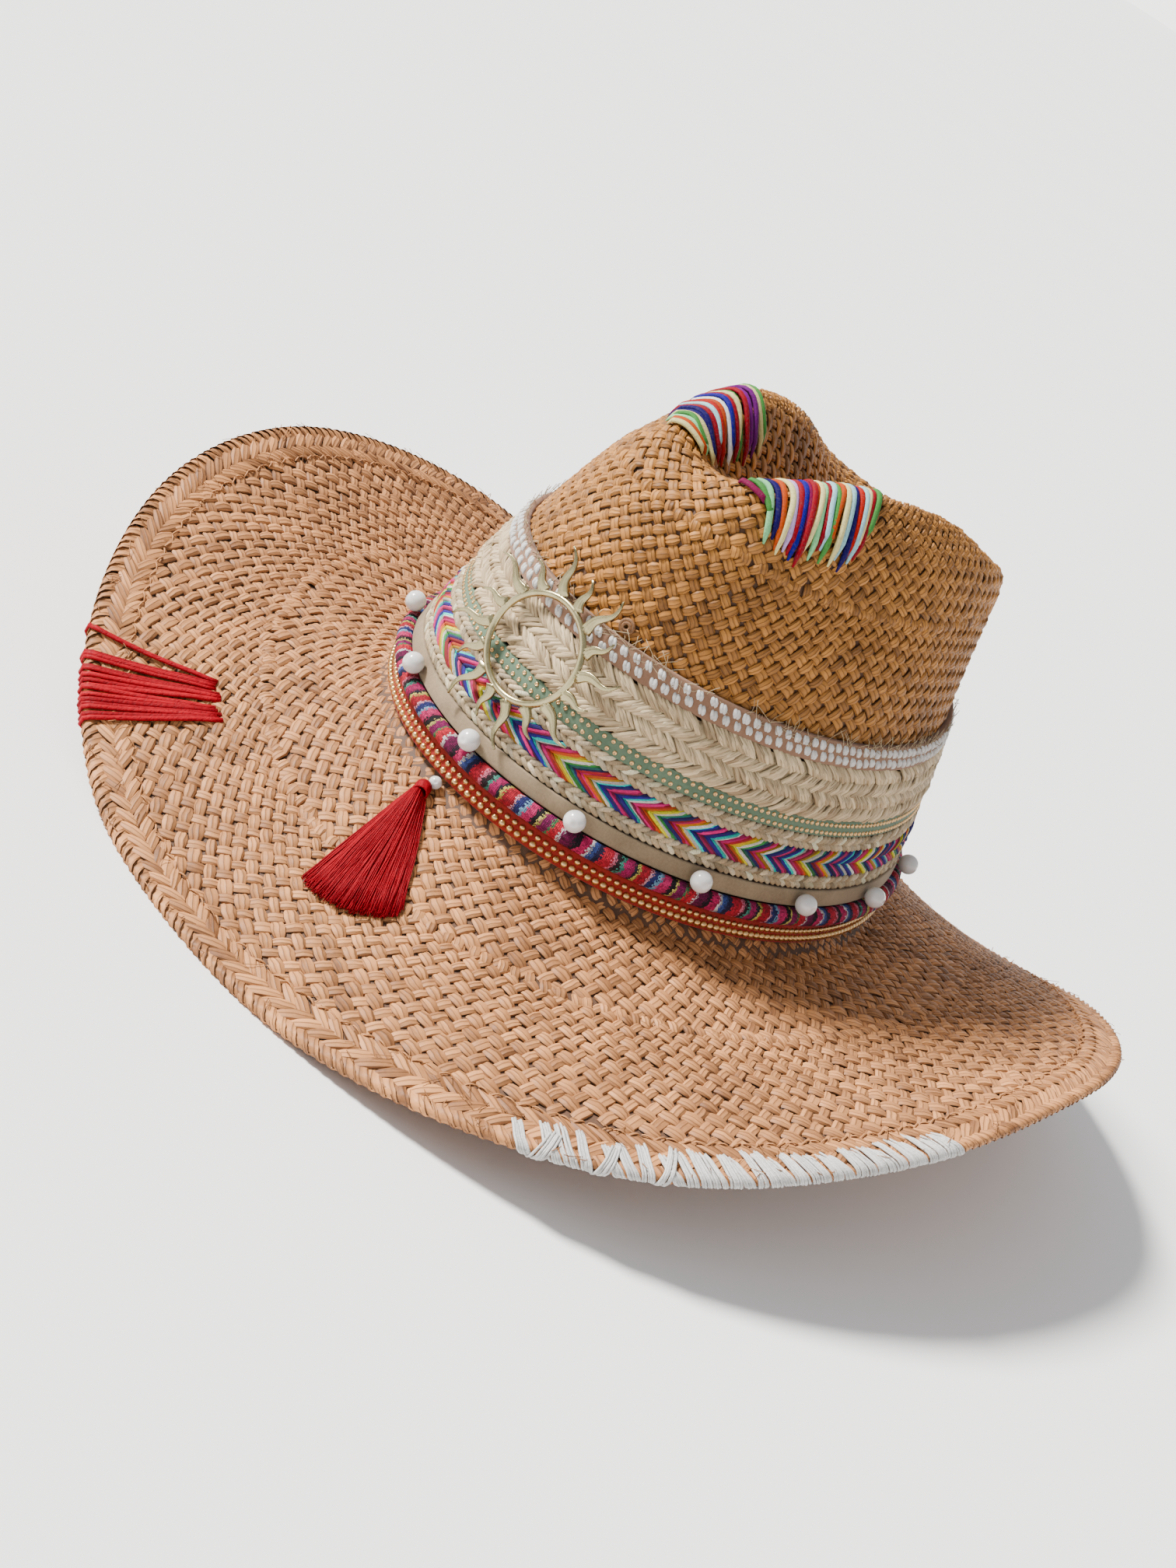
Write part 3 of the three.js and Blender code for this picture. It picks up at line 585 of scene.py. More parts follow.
def straw_material(name, light, dark):
    """Flat straws side by side in each float, with painted shade as thin dark lines between them and towards the
    float's edges, and a tone for each one
    """
    material, tree, shader = new_material(name)
    across, along, tone = strand_places(tree)
    place = object_place(tree)
    shift = maths(tree, "MULTIPLY", tone, 61.0)
    sway = noise(tree, node(tree, "ShaderNodeCombineXYZ", {0: along, 1: shift}).outputs[0], 1.4, 1.0)
    line = maths(tree, "MULTIPLY_ADD", across, STRAWS_ACROSS, maths(tree, "MULTIPLY_ADD", sway, 0.9, shift))
    number = maths(tree, "FLOOR", line)
    each = node(tree, "ShaderNodeTexWhiteNoise", {"Vector": node(tree, "ShaderNodeCombineXYZ", {0: number, 1: tone}).outputs[0]})
    off_middle = maths(tree, "ABSOLUTE", maths(tree, "MULTIPLY_ADD", maths(tree, "FRACT", line), 2.0, -1.0))
    gap = maths(tree, "POWER", off_middle, 5.0)
    thread = node(tree, "ShaderNodeCombineXYZ", {0: maths(tree, "MULTIPLY", across, 15.0), 1: along, 2: shift}).outputs[0]
    grain = noise(tree, thread, 1.0, 3.0, 0.6)
    # cloud: large darker and lighter patches, partly a random tone of the straw and partly painted dappled shade
    cloud = noise(tree, place, 26.0, 2.0, 0.5)
    fleck = noise(tree, place, 700.0, 2.0, 0.6)
    shade = maths(tree, "MULTIPLY_ADD", each.outputs[0], 0.42, maths(tree, "MULTIPLY_ADD", grain, 0.55, -0.32))
    shade = maths(tree, "MULTIPLY_ADD", cloud, 0.6, maths(tree, "MULTIPLY_ADD", fleck, 0.25, shade))
    shade = node(tree, "ShaderNodeClamp", {0: maths(tree, "MULTIPLY_ADD", tone, 0.60, maths(tree, "SUBTRACT", shade, 0.26))})
    colour = mixed(tree, shade.outputs[0], (*dark, 1), (*light, 1))
    # Painted shade: darker in the thin lines between the straws and towards the float's edges, where the neighbouring
    # floats shade it
    rim = maths(tree, "POWER", maths(tree, "ABSOLUTE", maths(tree, "MULTIPLY_ADD", across, 2.0, -1.0)), 6.0)
    painted_shade = node(tree, "ShaderNodeClamp", {0: maths(tree, "MULTIPLY_ADD", gap, 0.8, maths(tree, "MULTIPLY", rim, 0.85))})
    colour = mixed(tree, painted_shade.outputs[0], colour, tuple(0.16 * c for c in dark) + (1,))
    tree.links.new(colour, shader.inputs["Base Color"])
    tree.links.new(maths(tree, "MULTIPLY_ADD", grain, 0.3, 0.42), shader.inputs["Roughness"])
    shader.inputs["Specular IOR Level"].default_value = 0.25
    height = maths(tree, "SUBTRACT", maths(tree, "MULTIPLY", grain, 0.5), maths(tree, "MULTIPLY", off_middle, off_middle))
    bumped(tree, shader, height, 0.5, 0.3 * MM)
    return material


def suede_material(name, light, dark, sheen=0.1):
    """Suede: a short nap with darker brushed patches"""
    material, tree, shader = new_material(name)
    place = object_place(tree)
    nap = noise(tree, place, 1400.0, 3.0, 0.7)
    patch = noise(tree, place, 90.0, 3.0, 0.6)
    shade = maths(tree, "MULTIPLY_ADD", nap, 0.5, maths(tree, "MULTIPLY", patch, 0.6))
    shade = node(tree, "ShaderNodeClamp", {0: maths(tree, "SUBTRACT", shade, 0.1)}).outputs[0]
    tree.links.new(mixed(tree, shade, (*dark, 1), (*light, 1)), shader.inputs["Base Color"])
    tree.links.new(maths(tree, "MULTIPLY_ADD", nap, 0.2, 0.72), shader.inputs["Roughness"])
    shader.inputs["Sheen Weight"].default_value = sheen
    shader.inputs["Sheen Roughness"].default_value = 0.5
    shader.inputs["Specular IOR Level"].default_value = 0.25
    bumped(tree, shader, nap, 0.5, 0.2 * MM)
    return material


def metal_material(name, light, dark, roughness):
    """Cast or stamped metal with a worn, slightly clouded finish"""
    material, tree, shader = new_material(name)
    place = object_place(tree)
    cloud = noise(tree, place, 260.0, 4.0, 0.6)
    scratch = noise(tree, place, 1500.0, 2.0, 0.5)
    tree.links.new(mixed(tree, cloud, (*dark, 1), (*light, 1)), shader.inputs["Base Color"])
    shader.inputs["Metallic"].default_value = 1.0
    tree.links.new(maths(tree, "MULTIPLY_ADD", cloud, 0.3, roughness - 0.12), shader.inputs["Roughness"])
    bumped(tree, shader, maths(tree, "MULTIPLY_ADD", scratch, 0.3, cloud), 0.25, 0.1 * MM)
    return material


def pearl_material():
    material, tree, shader = new_material("pearl")
    place = object_place(tree)
    cloud = noise(tree, place, 320.0, 3.0, 0.5)
    tree.links.new(mixed(tree, cloud, (0.50, 0.50, 0.49, 1), (0.70, 0.69, 0.68, 1)), shader.inputs["Base Color"])
    tree.links.new(maths(tree, "MULTIPLY_ADD", cloud, 0.12, 0.1), shader.inputs["Roughness"])
    shader.inputs["Subsurface Weight"].default_value = 0.25
    shader.inputs["Subsurface Scale"].default_value = 2 * MM
    shader.inputs["Coat Weight"].default_value = 0.6
    shader.inputs["Coat Roughness"].default_value = 0.08
    bumped(tree, shader, cloud, 0.08, 0.1 * MM)
    return material


# Stripes of the cord's cloth: width in millimetres and colour
CORD_STRIPES = [
    (3.0, (0.13, 0.003, 0.05)), (1.6, (0.012, 0.006, 0.012)), (2.6, (0.50, 0.012, 0.10)), (0.9, (0.62, 0.60, 0.62)),
    (2.0, (0.04, 0.07, 0.26)), (1.8, (0.012, 0.01, 0.05)), (3.2, (0.46, 0.01, 0.03)), (1.1, (0.62, 0.14, 0.22)),
    (1.6, (0.02, 0.008, 0.012)), (1.0, (0.05, 0.24, 0.18)), (2.8, (0.34, 0.008, 0.09)), (1.2, (0.012, 0.01, 0.02)),
    (1.0, (0.50, 0.42, 0.08)), (3.0, (0.36, 0.006, 0.02)), (0.9, (0.66, 0.30, 0.36)), (2.1, (0.015, 0.02, 0.12)),
    (1.0, (0.16, 0.34, 0.50)), (3.1, (0.52, 0.02, 0.12)), (1.9, (0.01, 0.006, 0.01)), (0.8, (0.60, 0.50, 0.12)),
    (2.6, (0.20, 0.006, 0.08)), (0.9, (0.05, 0.20, 0.07)), (2.8, (0.50, 0.012, 0.03)), (1.0, (0.64, 0.56, 0.58)),
]


CLOTH_PITCH = 0.55
CLOTH_COLUMNS = 34


def cord_material():
    """Striped cloth: stripes with ragged edges across the cord, made of small woven checks, each darker at its borders
    as painted shade
    """
    material, tree, shader = new_material("striped_cloth")
    across, along, _tone = strand_places(tree)
    period = sum(width for width, _colour in CORD_STRIPES)
    place = object_place(tree)
    wander = noise(tree, place, 120.0, 2.0, 0.5)
    row = maths(tree, "DIVIDE", along, CLOTH_PITCH)
    column = maths(tree, "MULTIPLY", across, CLOTH_COLUMNS)
    check = node(tree, "ShaderNodeCombineXYZ", {0: maths(tree, "FLOOR", row), 1: maths(tree, "FLOOR", column)}).outputs[0]
    each = node(tree, "ShaderNodeTexWhiteNoise", {"Vector": check}).outputs[0]
    shifted = maths(tree, "MULTIPLY_ADD", across, 3.0, maths(tree, "MULTIPLY_ADD", wander, 3.0, along))
    shifted = maths(tree, "MULTIPLY_ADD", each, 1.1, shifted)
    share = maths(tree, "FRACT", maths(tree, "DIVIDE", shifted, period))
    stops = []
    edge = 0.0
    for width, colour in CORD_STRIPES:
        stops.append((edge / period, colour))
        edge += width
    colour = ramp(tree, share, stops, "CONSTANT")
    weave = maths(tree, "MULTIPLY", maths(tree, "SINE", maths(tree, "MULTIPLY", row, math.pi)),
                  maths(tree, "SINE", maths(tree, "MULTIPLY", column, math.pi)))
    fleck = noise(tree, place, 1500.0, 1.0, 0.5)
    # Brightness of each check: a random tone for each check, fine flecks, and brighter in the check's middle than at
    # its borders, which is painted shade between the yarns
    light = maths(tree, "MULTIPLY_ADD", each, 0.55, maths(tree, "MULTIPLY_ADD", fleck, 0.35, 0.02))
    light = maths(tree, "MULTIPLY_ADD", maths(tree, "ABSOLUTE", weave), 0.25, light)
    check_tone_and_shade = node(tree, "ShaderNodeCombineColor", {0: light, 1: light, 2: light}).outputs[0]
    tree.links.new(mixed(tree, 1.0, colour, check_tone_and_shade, "MULTIPLY"), shader.inputs["Base Color"])
    tree.links.new(maths(tree, "MULTIPLY_ADD", fleck, 0.2, 0.7), shader.inputs["Roughness"])
    shader.inputs["Specular IOR Level"].default_value = 0.2
    bumped(tree, shader, maths(tree, "ABSOLUTE", weave), 0.7, 0.25 * MM)
    return material


def shell_material():
    """The straw under the floats, painted near-black as shade so that the gaps between the floats read dark, with cross
    fibres
    """
    material, tree, shader = new_material("straw_under_painted_shade")
    place = object_place(tree)
    grain = noise(tree, place, 420.0, 4.0, 0.65)
    cloud = noise(tree, place, 60.0, 2.0, 0.5)
    shade = maths(tree, "MULTIPLY_ADD", grain, 0.8, maths(tree, "MULTIPLY_ADD", cloud, 0.4, -0.2))
    # Painted shade: near-black browns for straw that lies in the shade under the floats
    colours = mixed(tree, node(tree, "ShaderNodeClamp", {0: shade}).outputs[0], (0.030, 0.012, 0.005, 1), (0.14, 0.062, 0.026, 1))
    tree.links.new(colours, shader.inputs["Base Color"])
    tree.links.new(maths(tree, "MULTIPLY_ADD", grain, 0.2, 0.65), shader.inputs["Roughness"])
    bumped(tree, shader, grain, 0.6, 0.3 * MM)
    return material


brim_straw = straw_material("brim_straw", (0.60, 0.262, 0.095), (0.105, 0.038, 0.013))
crown_straw = straw_material("crown_straw", (0.46, 0.192, 0.036), (0.075, 0.026, 0.004))
straw_under_painted_shade = shell_material()
jute = strand_material("jute", (0.92, 0.90, 0.86), (0.24, 0.19, 0.14), fibres=6.0, stretch=3.0, roughness=0.75, tinted=True,
                       twist=5.0, grooves=0.6, edge=0.75)
cream = strand_material("cream_fibre", (0.78, 0.62, 0.38), (0.17, 0.10, 0.042), fibres=4.5, stretch=1.2, roughness=0.6,
                        edge=0.75, grooves=0.6)
red_suede = suede_material("red_suede", (0.36, 0.018, 0.007), (0.10, 0.003, 0.002))
beige_suede = suede_material("beige_suede", (0.36, 0.27, 0.165), (0.09, 0.06, 0.034))
green_suede = suede_material("green_suede", (0.15, 0.22, 0.145), (0.045, 0.085, 0.05))
brown_suede = suede_material("brown_suede", (0.30, 0.17, 0.105), (0.11, 0.055, 0.03))
brass = metal_material("brass", (0.50, 0.44, 0.25), (0.24, 0.20, 0.10), 0.24)
gold = metal_material("gold_stud", (0.78, 0.52, 0.25), (0.44, 0.25, 0.09), 0.28)
pearl = pearl_material()
striped_cloth = cord_material()
red_thread = strand_material("red_thread", (0.42, 0.0008, 0.012), (0.10, 0.0003, 0.003), fibres=3.0, stretch=6.0,
                             roughness=0.5, edge=0.3, twist=3.0, specular=0.08)
coloured_thread = strand_material("coloured_thread", (0.74, 0.74, 0.74), (0.42, 0.41, 0.41), fibres=4.0, stretch=5.0,
                                  roughness=0.6, edge=0.45, tinted=True, twist=2.0, grooves=0.25, specular=0.08)
white_thread = strand_material("white_thread", (0.66, 0.65, 0.63), (0.42, 0.40, 0.38), fibres=4.0, stretch=4.0,
                               roughness=0.6, edge=0.35, twist=4.0, grooves=0.25)


# The straw shell

def shell_ring_rows():
    """Rings of the shell from the top of the crown over the brim and back up inside, sunk under the strands"""
    azimuths = np.arange(0, ROUND, 2) * 360 / ROUND
    rings = []
    longest = crown_length.max()
    outer_runs = np.linspace(BASE_FILLET, 0.99 * longest, 44)
    for run in outer_runs[::-1]:
        place, out = crown_at(azimuths, np.full(len(azimuths), run))
        rings.append(place - out * SHELL_SINK)
    for share in np.linspace(0, BRIM_SPAN, BRIM_STEPS + EDGE_STEPS + 1):
        place, out = brim_at(azimuths, np.full(len(azimuths), share))
        rings.append(place - out * SHELL_SINK)
    for run in outer_runs:
        place, out = crown_at(azimuths, np.full(len(azimuths), run))
        rings.append(place - out * (STRAW_WALL - SHELL_SINK))
    return np.array(rings)


def make_shell():
    rings = shell_ring_rows()
    count, around = rings.shape[:2]
    points = rings.reshape(-1, 3)
    poles = np.array([rings[0].mean(0), rings[-1].mean(0)])
    row = np.arange(count - 1)[:, None] * around
    column = np.arange(around)[None]
    after = (column + 1) % around
    quads = np.stack([row + column, row + around + column, row + around + after, row + after], -1).reshape(-1, 4)
    top = count * around
    ring = np.arange(around)
    caps = np.stack([np.full(around, top), ring, (ring + 1) % around], -1)
    inside = (count - 1) * around
    floor = np.stack([np.full(around, top + 1), inside + (ring + 1) % around, inside + ring], -1)
    batch = Batch()
    batch.add(np.concatenate([points, poles]), [quads, caps, floor])
    make_piece("straw_shell", batch, straw_under_painted_shade, ["woven_body"])


# The straw weave: two families of strands that lean across each other and spiral round the hat

class Lattice:
    """Crossings of the two families, which close on themselves once round"""

    def __init__(self, angles, counts, hand):
        a, b = (math.radians(angle) for angle in angles)
        first = 2 * math.pi / (counts[0] * (math.sin(a) + math.cos(a) * math.tan(b)))
        second = first * counts[0] * math.cos(a) / (counts[1] * math.cos(b))
        self.counts = counts
        self.ways = np.array([
            (hand * math.sin(a) * first, math.cos(a) * first),
            (-hand * math.sin(b) * second, math.cos(b) * second),
        ])

    def crossings(self, span):
        """Numbers of the crossings in both families and their places round and along"""
        corners = np.array([(0, 0), (2 * math.pi, 0), (0, span), (2 * math.pi, span)])
        numbers = corners @ np.linalg.inv(self.ways)
        low, high = np.floor(numbers.min(0)).astype(int), np.ceil(numbers.max(0)).astype(int)
        i, j = (part.ravel() for part in np.meshgrid(np.arange(low[0], high[0] + 1), np.arange(low[1], high[1] + 1)))
        turn, pace = (np.stack([i, j], 1) @ self.ways).T
        kept = (turn >= 0) & (turn < 2 * math.pi) & (pace >= 0) & (pace < span)
        return i[kept], j[kept], turn[kept], pace[kept]


# Each family's half width by its spacing, its height, its half length by its cells and how its ends narrow
CROWN_LOOK = [
    {"wide": 0.46, "high": 0.38 * MM, "long": 0.66, "taper": 0.15},
    {"wide": 0.47, "high": 0.65 * MM, "long": 0.66, "taper": 0.35},
]
BRIM_LOOK = [
    {"wide": 0.50, "high": 0.58 * MM, "long": 0.74, "taper": 0.35},
    {"wide": 0.41, "high": 0.32 * MM, "long": 0.68, "taper": 0.15},
]
FLOAT_DIP = 0.45 * MM
COARSE_STEPS = np.array([-1.0, -0.45, 0.45, 1.0])
CROWN_LOW = Lattice((50, 44), (96, 88), -1)
CROWN_HIGH = Lattice((50, 44), (78, 72), -1)
BRIM_INNER = Lattice((54, 36), (132, 102), 1)
BRIM_OUTER = Lattice((60, 42), (166, 122), 1)


def add_weave(batch, spread, lattice, look, low, high, inside=False):
    """Both families over the rows of a surface from low to high, which may be functions of the azimuth"""
    i, j, turn, pace = lattice.crossings(spread.span)
    azimuth, row = spread.at(turn, pace)
    kept = (row >= low) & (row < (high(azimuth) if callable(high) else high))
    i, j, turn, pace = i[kept], j[kept], turn[kept], pace[kept]
    surface = flipped(spread.place) if inside else spread.place
    section, steps = (ARCH, COARSE_STEPS) if inside else (STRAWS, FLOAT_STEPS)
    for family in (0, 1):
        mine = (i + j + inside) % 2 == family
        along, across = lattice.ways[family], lattice.ways[1 - family]
        strand = (j, i)[family] % lattice.counts[1 - family]
        strand_tones = random.random(lattice.counts[1 - family])
        tones = 0.5 * strand_tones[strand[mine]] + 0.5 * random.random(mine.sum())
        u, v = turn[mine], pace[mine]
        ends = [surface(u + side * across[0], v + side * across[1])[0] for side in (-0.5, 0.5)]
        spacing = np.linalg.norm(ends[1] - ends[0], axis=1)
        form = look[family]
        number = len(u)
        shift = random.normal(0, 0.05, (2, number))
        add_floats(batch, surface, u + shift[0] * across[0], v + shift[0] * across[1],
                   np.full(number, form["long"] * along[0]), np.full(number, form["long"] * along[1]),
                   form["wide"] * spacing, np.full(number, form["high"]), FLOAT_DIP, tones, taper=form["taper"],
                   section=section, steps=steps)


# A row of small floats where more strands set in
SEAM_SHARE = 0.385
SEAM_COUNT = 190
SEAM_RUN = 112 * MM
SEAM_RUN_COUNT = 112
WEAVE_END = 0.875


def add_seam(batch, surface, row, reach, count, lean):
    azimuth = (np.arange(count) + random.normal(0, 0.12, count)) * 360 / count
    perimeter = np.linalg.norm(np.diff(surface(azimuth, np.full(count, row))[0], axis=0), axis=1).mean()
    add_floats(batch, surface, azimuth, row + random.normal(0, 0.1, count) * reach, np.full(count, lean * 150 / count),
               np.full(count, reach), np.full(count, 0.40 * perimeter), np.full(count, 0.7 * MM), FLOAT_DIP,
               random.random(count), section=STRAWS)


def folded_brim(under):
    """The brim's upper face, or the same places on its underside"""
    if not under:
        return brim_at
    return lambda azimuth, share: brim_at(azimuth, BRIM_SPAN - share)


# The border: rows of strips that lean to and fro, the last one folded over the edge
BORDER_ROWS = [
    {"share": 0.893, "lean": 1.0, "reach": 0.036},
    {"share": 0.945, "lean": -1.0, "reach": 0.036},
]
BORDER_STRANDS = 222
EDGE_REACH = 0.105
EDGE_STRANDS = 310


def add_border(batch, under):
    surface = folded_brim(under)
    section, steps = (ARCH, COARSE_STEPS) if under else (STRAWS, FLOAT_STEPS)
    step = 360 / BORDER_STRANDS
    azimuth = np.arange(BORDER_STRANDS) * step
    for row in BORDER_ROWS:
        number = BORDER_STRANDS
        add_floats(batch, surface, azimuth + random.normal(0, 0.1, number), np.full(number, row["share"]),
                   np.full(number, row["lean"] * 1.35), np.full(number, row["reach"]), np.full(number, 2.0 * MM),
                   np.full(number, 0.55 * MM), 0.45 * MM, random.random(number), taper=0.35, section=section,
                   steps=steps)


def add_edge_fold(batch):
    """Strips folded over the brim's edge, leaning along it"""
    step = 360 / EDGE_STRANDS
    azimuth = np.arange(EDGE_STRANDS) * step
    steps = np.linspace(-1, 1, 8)
    middle = BRIM_SPAN / 2
    lines_v = middle + np.ones((EDGE_STRANDS, 1)) * EDGE_REACH * steps
    lines_u = azimuth[:, None] + 1.1 * steps + random.normal(0, 0.1, (EDGE_STRANDS, 1))
    lift = 0.30 * MM * (1 - np.abs(steps) ** 6) - 0.5 * MM * np.abs(steps) ** 6
    place, side, out = lay(brim_at, lines_u, lines_v, np.broadcast_to(lift, lines_u.shape))
    wide = 2.35 * MM * (1 - 0.15 * steps ** 2)
    add_strands(batch, place, side, out, wide, 0.3 * MM, SOFT_ARCH, random.random(EDGE_STRANDS))


TOP_PITCH = 3.5 * MM
TOP_MARGIN = 4 * MM
CROWN_WEAVE_START = TOP_LACE[1] - 4 * MM


def add_top_weave(batch, inside):
    """The weave in the hollow of the crown's top, square to the hat"""
    surface = flipped(top_field.place) if inside else top_field.place
    section, steps = (ARCH, COARSE_STEPS) if inside else (STRAWS, FLOAT_STEPS)
    column, row = (part.ravel() for part in np.meshgrid(np.arange(-14, 15), np.arange(-28, 29)))
    u = column * TOP_PITCH * 0.9
    v = row * TOP_PITCH
    azimuth = np.degrees(np.arctan2(v, u))
    crest_place = crown_at(azimuth, crest_at(azimuth))[0]
    crest_radius = np.hypot(crest_place[:, 0] - HUB_X, crest_place[:, 1])
    kept = np.hypot(u, v) < crest_radius - TOP_MARGIN
    u, v, column, row = u[kept], v[kept], column[kept], row[kept]
    over = (column + row) % 2 == 0
    tones = random.random(len(u))
    number = over.sum()
    add_floats(batch, surface, u[over], v[over], np.full(number, 0.62 * TOP_PITCH), np.zeros(number),
               np.full(number, 0.47 * TOP_PITCH), np.full(number, 0.75 * MM), 0.4 * MM, tones[over], section=section,
               steps=steps)
    number = (~over).sum()
    add_floats(batch, surface, u[~over], v[~over], np.zeros(number), np.full(number, 0.7 * TOP_PITCH),
               np.full(number, 0.42 * TOP_PITCH), np.full(number, 0.5 * MM), 0.4 * MM, tones[~over], section=section,
               steps=steps)


def past_crest(azimuth):
    return crest_at(azimuth) + CREST_REACH


# A thread sewn round the brim a little way in from its edge, and straw ends that stand out of the weave
SEAM_THREAD_SHARE = 0.868
SEAM_THREAD_STITCHES = 300
STRAY_COUNT = 240


def add_brim_thread(batch):
    step = 360 / SEAM_THREAD_STITCHES
    azimuth = (np.arange(SEAM_THREAD_STITCHES) + random.normal(0, 0.06, SEAM_THREAD_STITCHES)) * step
    lean = np.where(np.arange(SEAM_THREAD_STITCHES) % 2 == 0, 1.0, -1.0)
    number = SEAM_THREAD_STITCHES
    add_floats(batch, brim_at, azimuth, np.full(number, SEAM_THREAD_SHARE), np.full(number, 0.46 * step), lean * 0.008,
               np.full(number, 0.30 * MM), np.full(number, 1.0 * MM), -0.1 * MM, np.full(number, 0.9), taper=0.1,
               section=SOFT_ARCH, thick=0.4 * MM)


def add_stray_ends(batch):
    """Thin straw ends that lie loosely over the brim and stand out past its edge"""
    steps = np.linspace(0, 1, 5)
    azimuth = random.uniform(0, 360, STRAY_COUNT)
    share = random.choice([0.86, 0.9, 0.97, 1.0], STRAY_COUNT) + random.normal(0, 0.01, STRAY_COUNT)
    length = random.uniform(0.02, 0.055, STRAY_COUNT)
    turn = random.normal(0, 0.9, STRAY_COUNT)
    lines_u = azimuth[:, None] + turn[:, None] * steps
    lines_v = np.minimum(share[:, None] + length[:, None] * steps, 1.03)
    lift = (0.7 + random.uniform(0.2, 1.6, STRAY_COUNT)[:, None] * steps) * MM
    place, side, out = lay(brim_at, lines_u, lines_v, lift)
    add_strands(batch, place, side, out, 0.16 * MM, 0.1 * MM, ring_section(3), random.random(STRAY_COUNT), closed=True)


def make_weave():
    batch = Batch()
    add_weave(batch, brim_spread, BRIM_INNER, BRIM_LOOK, BRIM_FOOT, SEAM_SHARE)
    add_seam(batch, brim_at, SEAM_SHARE, 0.028, SEAM_COUNT, 0.5)
    make_piece("brim_weave_inner", batch, brim_straw)
    batch = Batch()
    add_weave(batch, brim_spread, BRIM_OUTER, BRIM_LOOK, SEAM_SHARE, WEAVE_END)
    add_border(batch, False)
    add_brim_thread(batch)
    add_stray_ends(batch)
    make_piece("brim_weave_outer", batch, brim_straw)
    batch = Batch()
    add_weave(batch, brim_spread, BRIM_INNER, BRIM_LOOK, BRIM_FOOT, SEAM_SHARE, True)
    add_weave(batch, brim_spread, BRIM_OUTER, BRIM_LOOK, SEAM_SHARE, WEAVE_END, True)
    add_border(batch, True)
    make_piece("brim_weave_under", batch, brim_straw)
    batch = Batch()
    add_edge_fold(batch)
    make_piece("brim_edge_fold", batch, brim_straw)
    batch = Batch()
    add_weave(batch, crown_spread, CROWN_LOW, CROWN_LOOK, CROWN_WEAVE_START, SEAM_RUN)
    add_seam(batch, crown_at, SEAM_RUN, 2.2 * MM, SEAM_RUN_COUNT, -0.5)
    add_weave(batch, crown_spread, CROWN_HIGH, CROWN_LOOK, SEAM_RUN, past_crest)
    add_top_weave(batch, False)
    make_piece("crown_weave_out", batch, crown_straw)
    batch = Batch()
    add_weave(batch, crown_spread, CROWN_LOW, CROWN_LOOK, 3 * MM, SEAM_RUN, True)
    add_weave(batch, crown_spread, CROWN_HIGH, CROWN_LOOK, SEAM_RUN, past_crest, True)
    add_top_weave(batch, True)
    make_piece("crown_weave_in", batch, crown_straw)


make_shell()
make_weave()


# Bands

def band_perimeter(run):
    azimuths = np.linspace(0, 360, 721)
    place, out = crown_at(azimuths, np.full(721, run))
    return np.linalg.norm(np.diff(place, axis=0), axis=1).sum()


def add_loop(batch, grid, length_scale=1.0, tones=None):
    """A closed ring from sections that follow one another round the crown; a seam keeps the run of its length"""
    around, corners = grid.shape[:2]
    grid = np.concatenate([grid, grid[:1]])
    travel = np.concatenate([[0], np.cumsum(np.linalg.norm(np.diff(grid[:, 0], axis=0), axis=1))]) / MM
    row = np.arange(around)[:, None] * corners
    column = np.arange(corners)[None]
    after = (column + 1) % corners
    quads = np.stack([row + column, row + corners + column, row + corners + after, row + after], -1).reshape(-1, 4)
    across = np.linspace(0, 1, corners)
    places = np.stack(np.broadcast_arrays(across[None], travel[:, None] * length_scale), -1).reshape(-1, 2)
    batch.add(grid.reshape(-1, 3), [quads], places)


def make_cord():
    start, end, thick = CORD
    steps, sides = 420, 16
    azimuths = np.arange(steps) * 360 / steps
    middle = (start + end) / 2
    place, out = crown_at(azimuths, np.full(steps, middle))
    along = unit(np.roll(place, -1, 0) - np.roll(place, 1, 0))
    up = unit(np.cross(out, along))
    lumps = 1 + 0.02 * np.sin(np.arange(steps) * 2.1) + 0.012 * random.normal(0, 1, steps)
    turns = math.pi + 2 * math.pi * np.arange(sides) / sides
    radius = (thick / 2 * lumps)[:, None, None]
    centre = place + out * (SEAT_GAP + thick / 2)
    grid = centre[:, None] + radius * (out[:, None] * np.cos(turns)[None, :, None] - up[:, None] * np.sin(turns)[None, :, None])
    batch = Batch()
    add_loop(batch, grid)
    make_piece("striped_cord", batch, striped_cloth, ["woven_cord"])


def dome(sides, profile):
    """A small turned shape as points and faces; the profile runs from the rim inwards as (radius, height)"""
    turns = 2 * math.pi * np.arange(sides) / sides
    points = [(r * math.cos(t), r * math.sin(t), h) for r, h in profile[:-1] for t in turns]
    points.append((0, 0, profile[-1][1]))
    faces = []
    rings = len(profile) - 1
    for ring in range(rings - 1):
        for side in range(sides):
            after = (side + 1) % sides
            faces.append((ring * sides + side, ring * sides + after, (ring + 1) * sides + after, (ring + 1) * sides + side))
    quads = np.array(faces).reshape(-1, 4)
    last = (rings - 1) * sides
    caps = np.array([(last + side, last + (side + 1) % sides, len(points) - 1) for side in range(sides)])
    return np.array(points), quads, caps


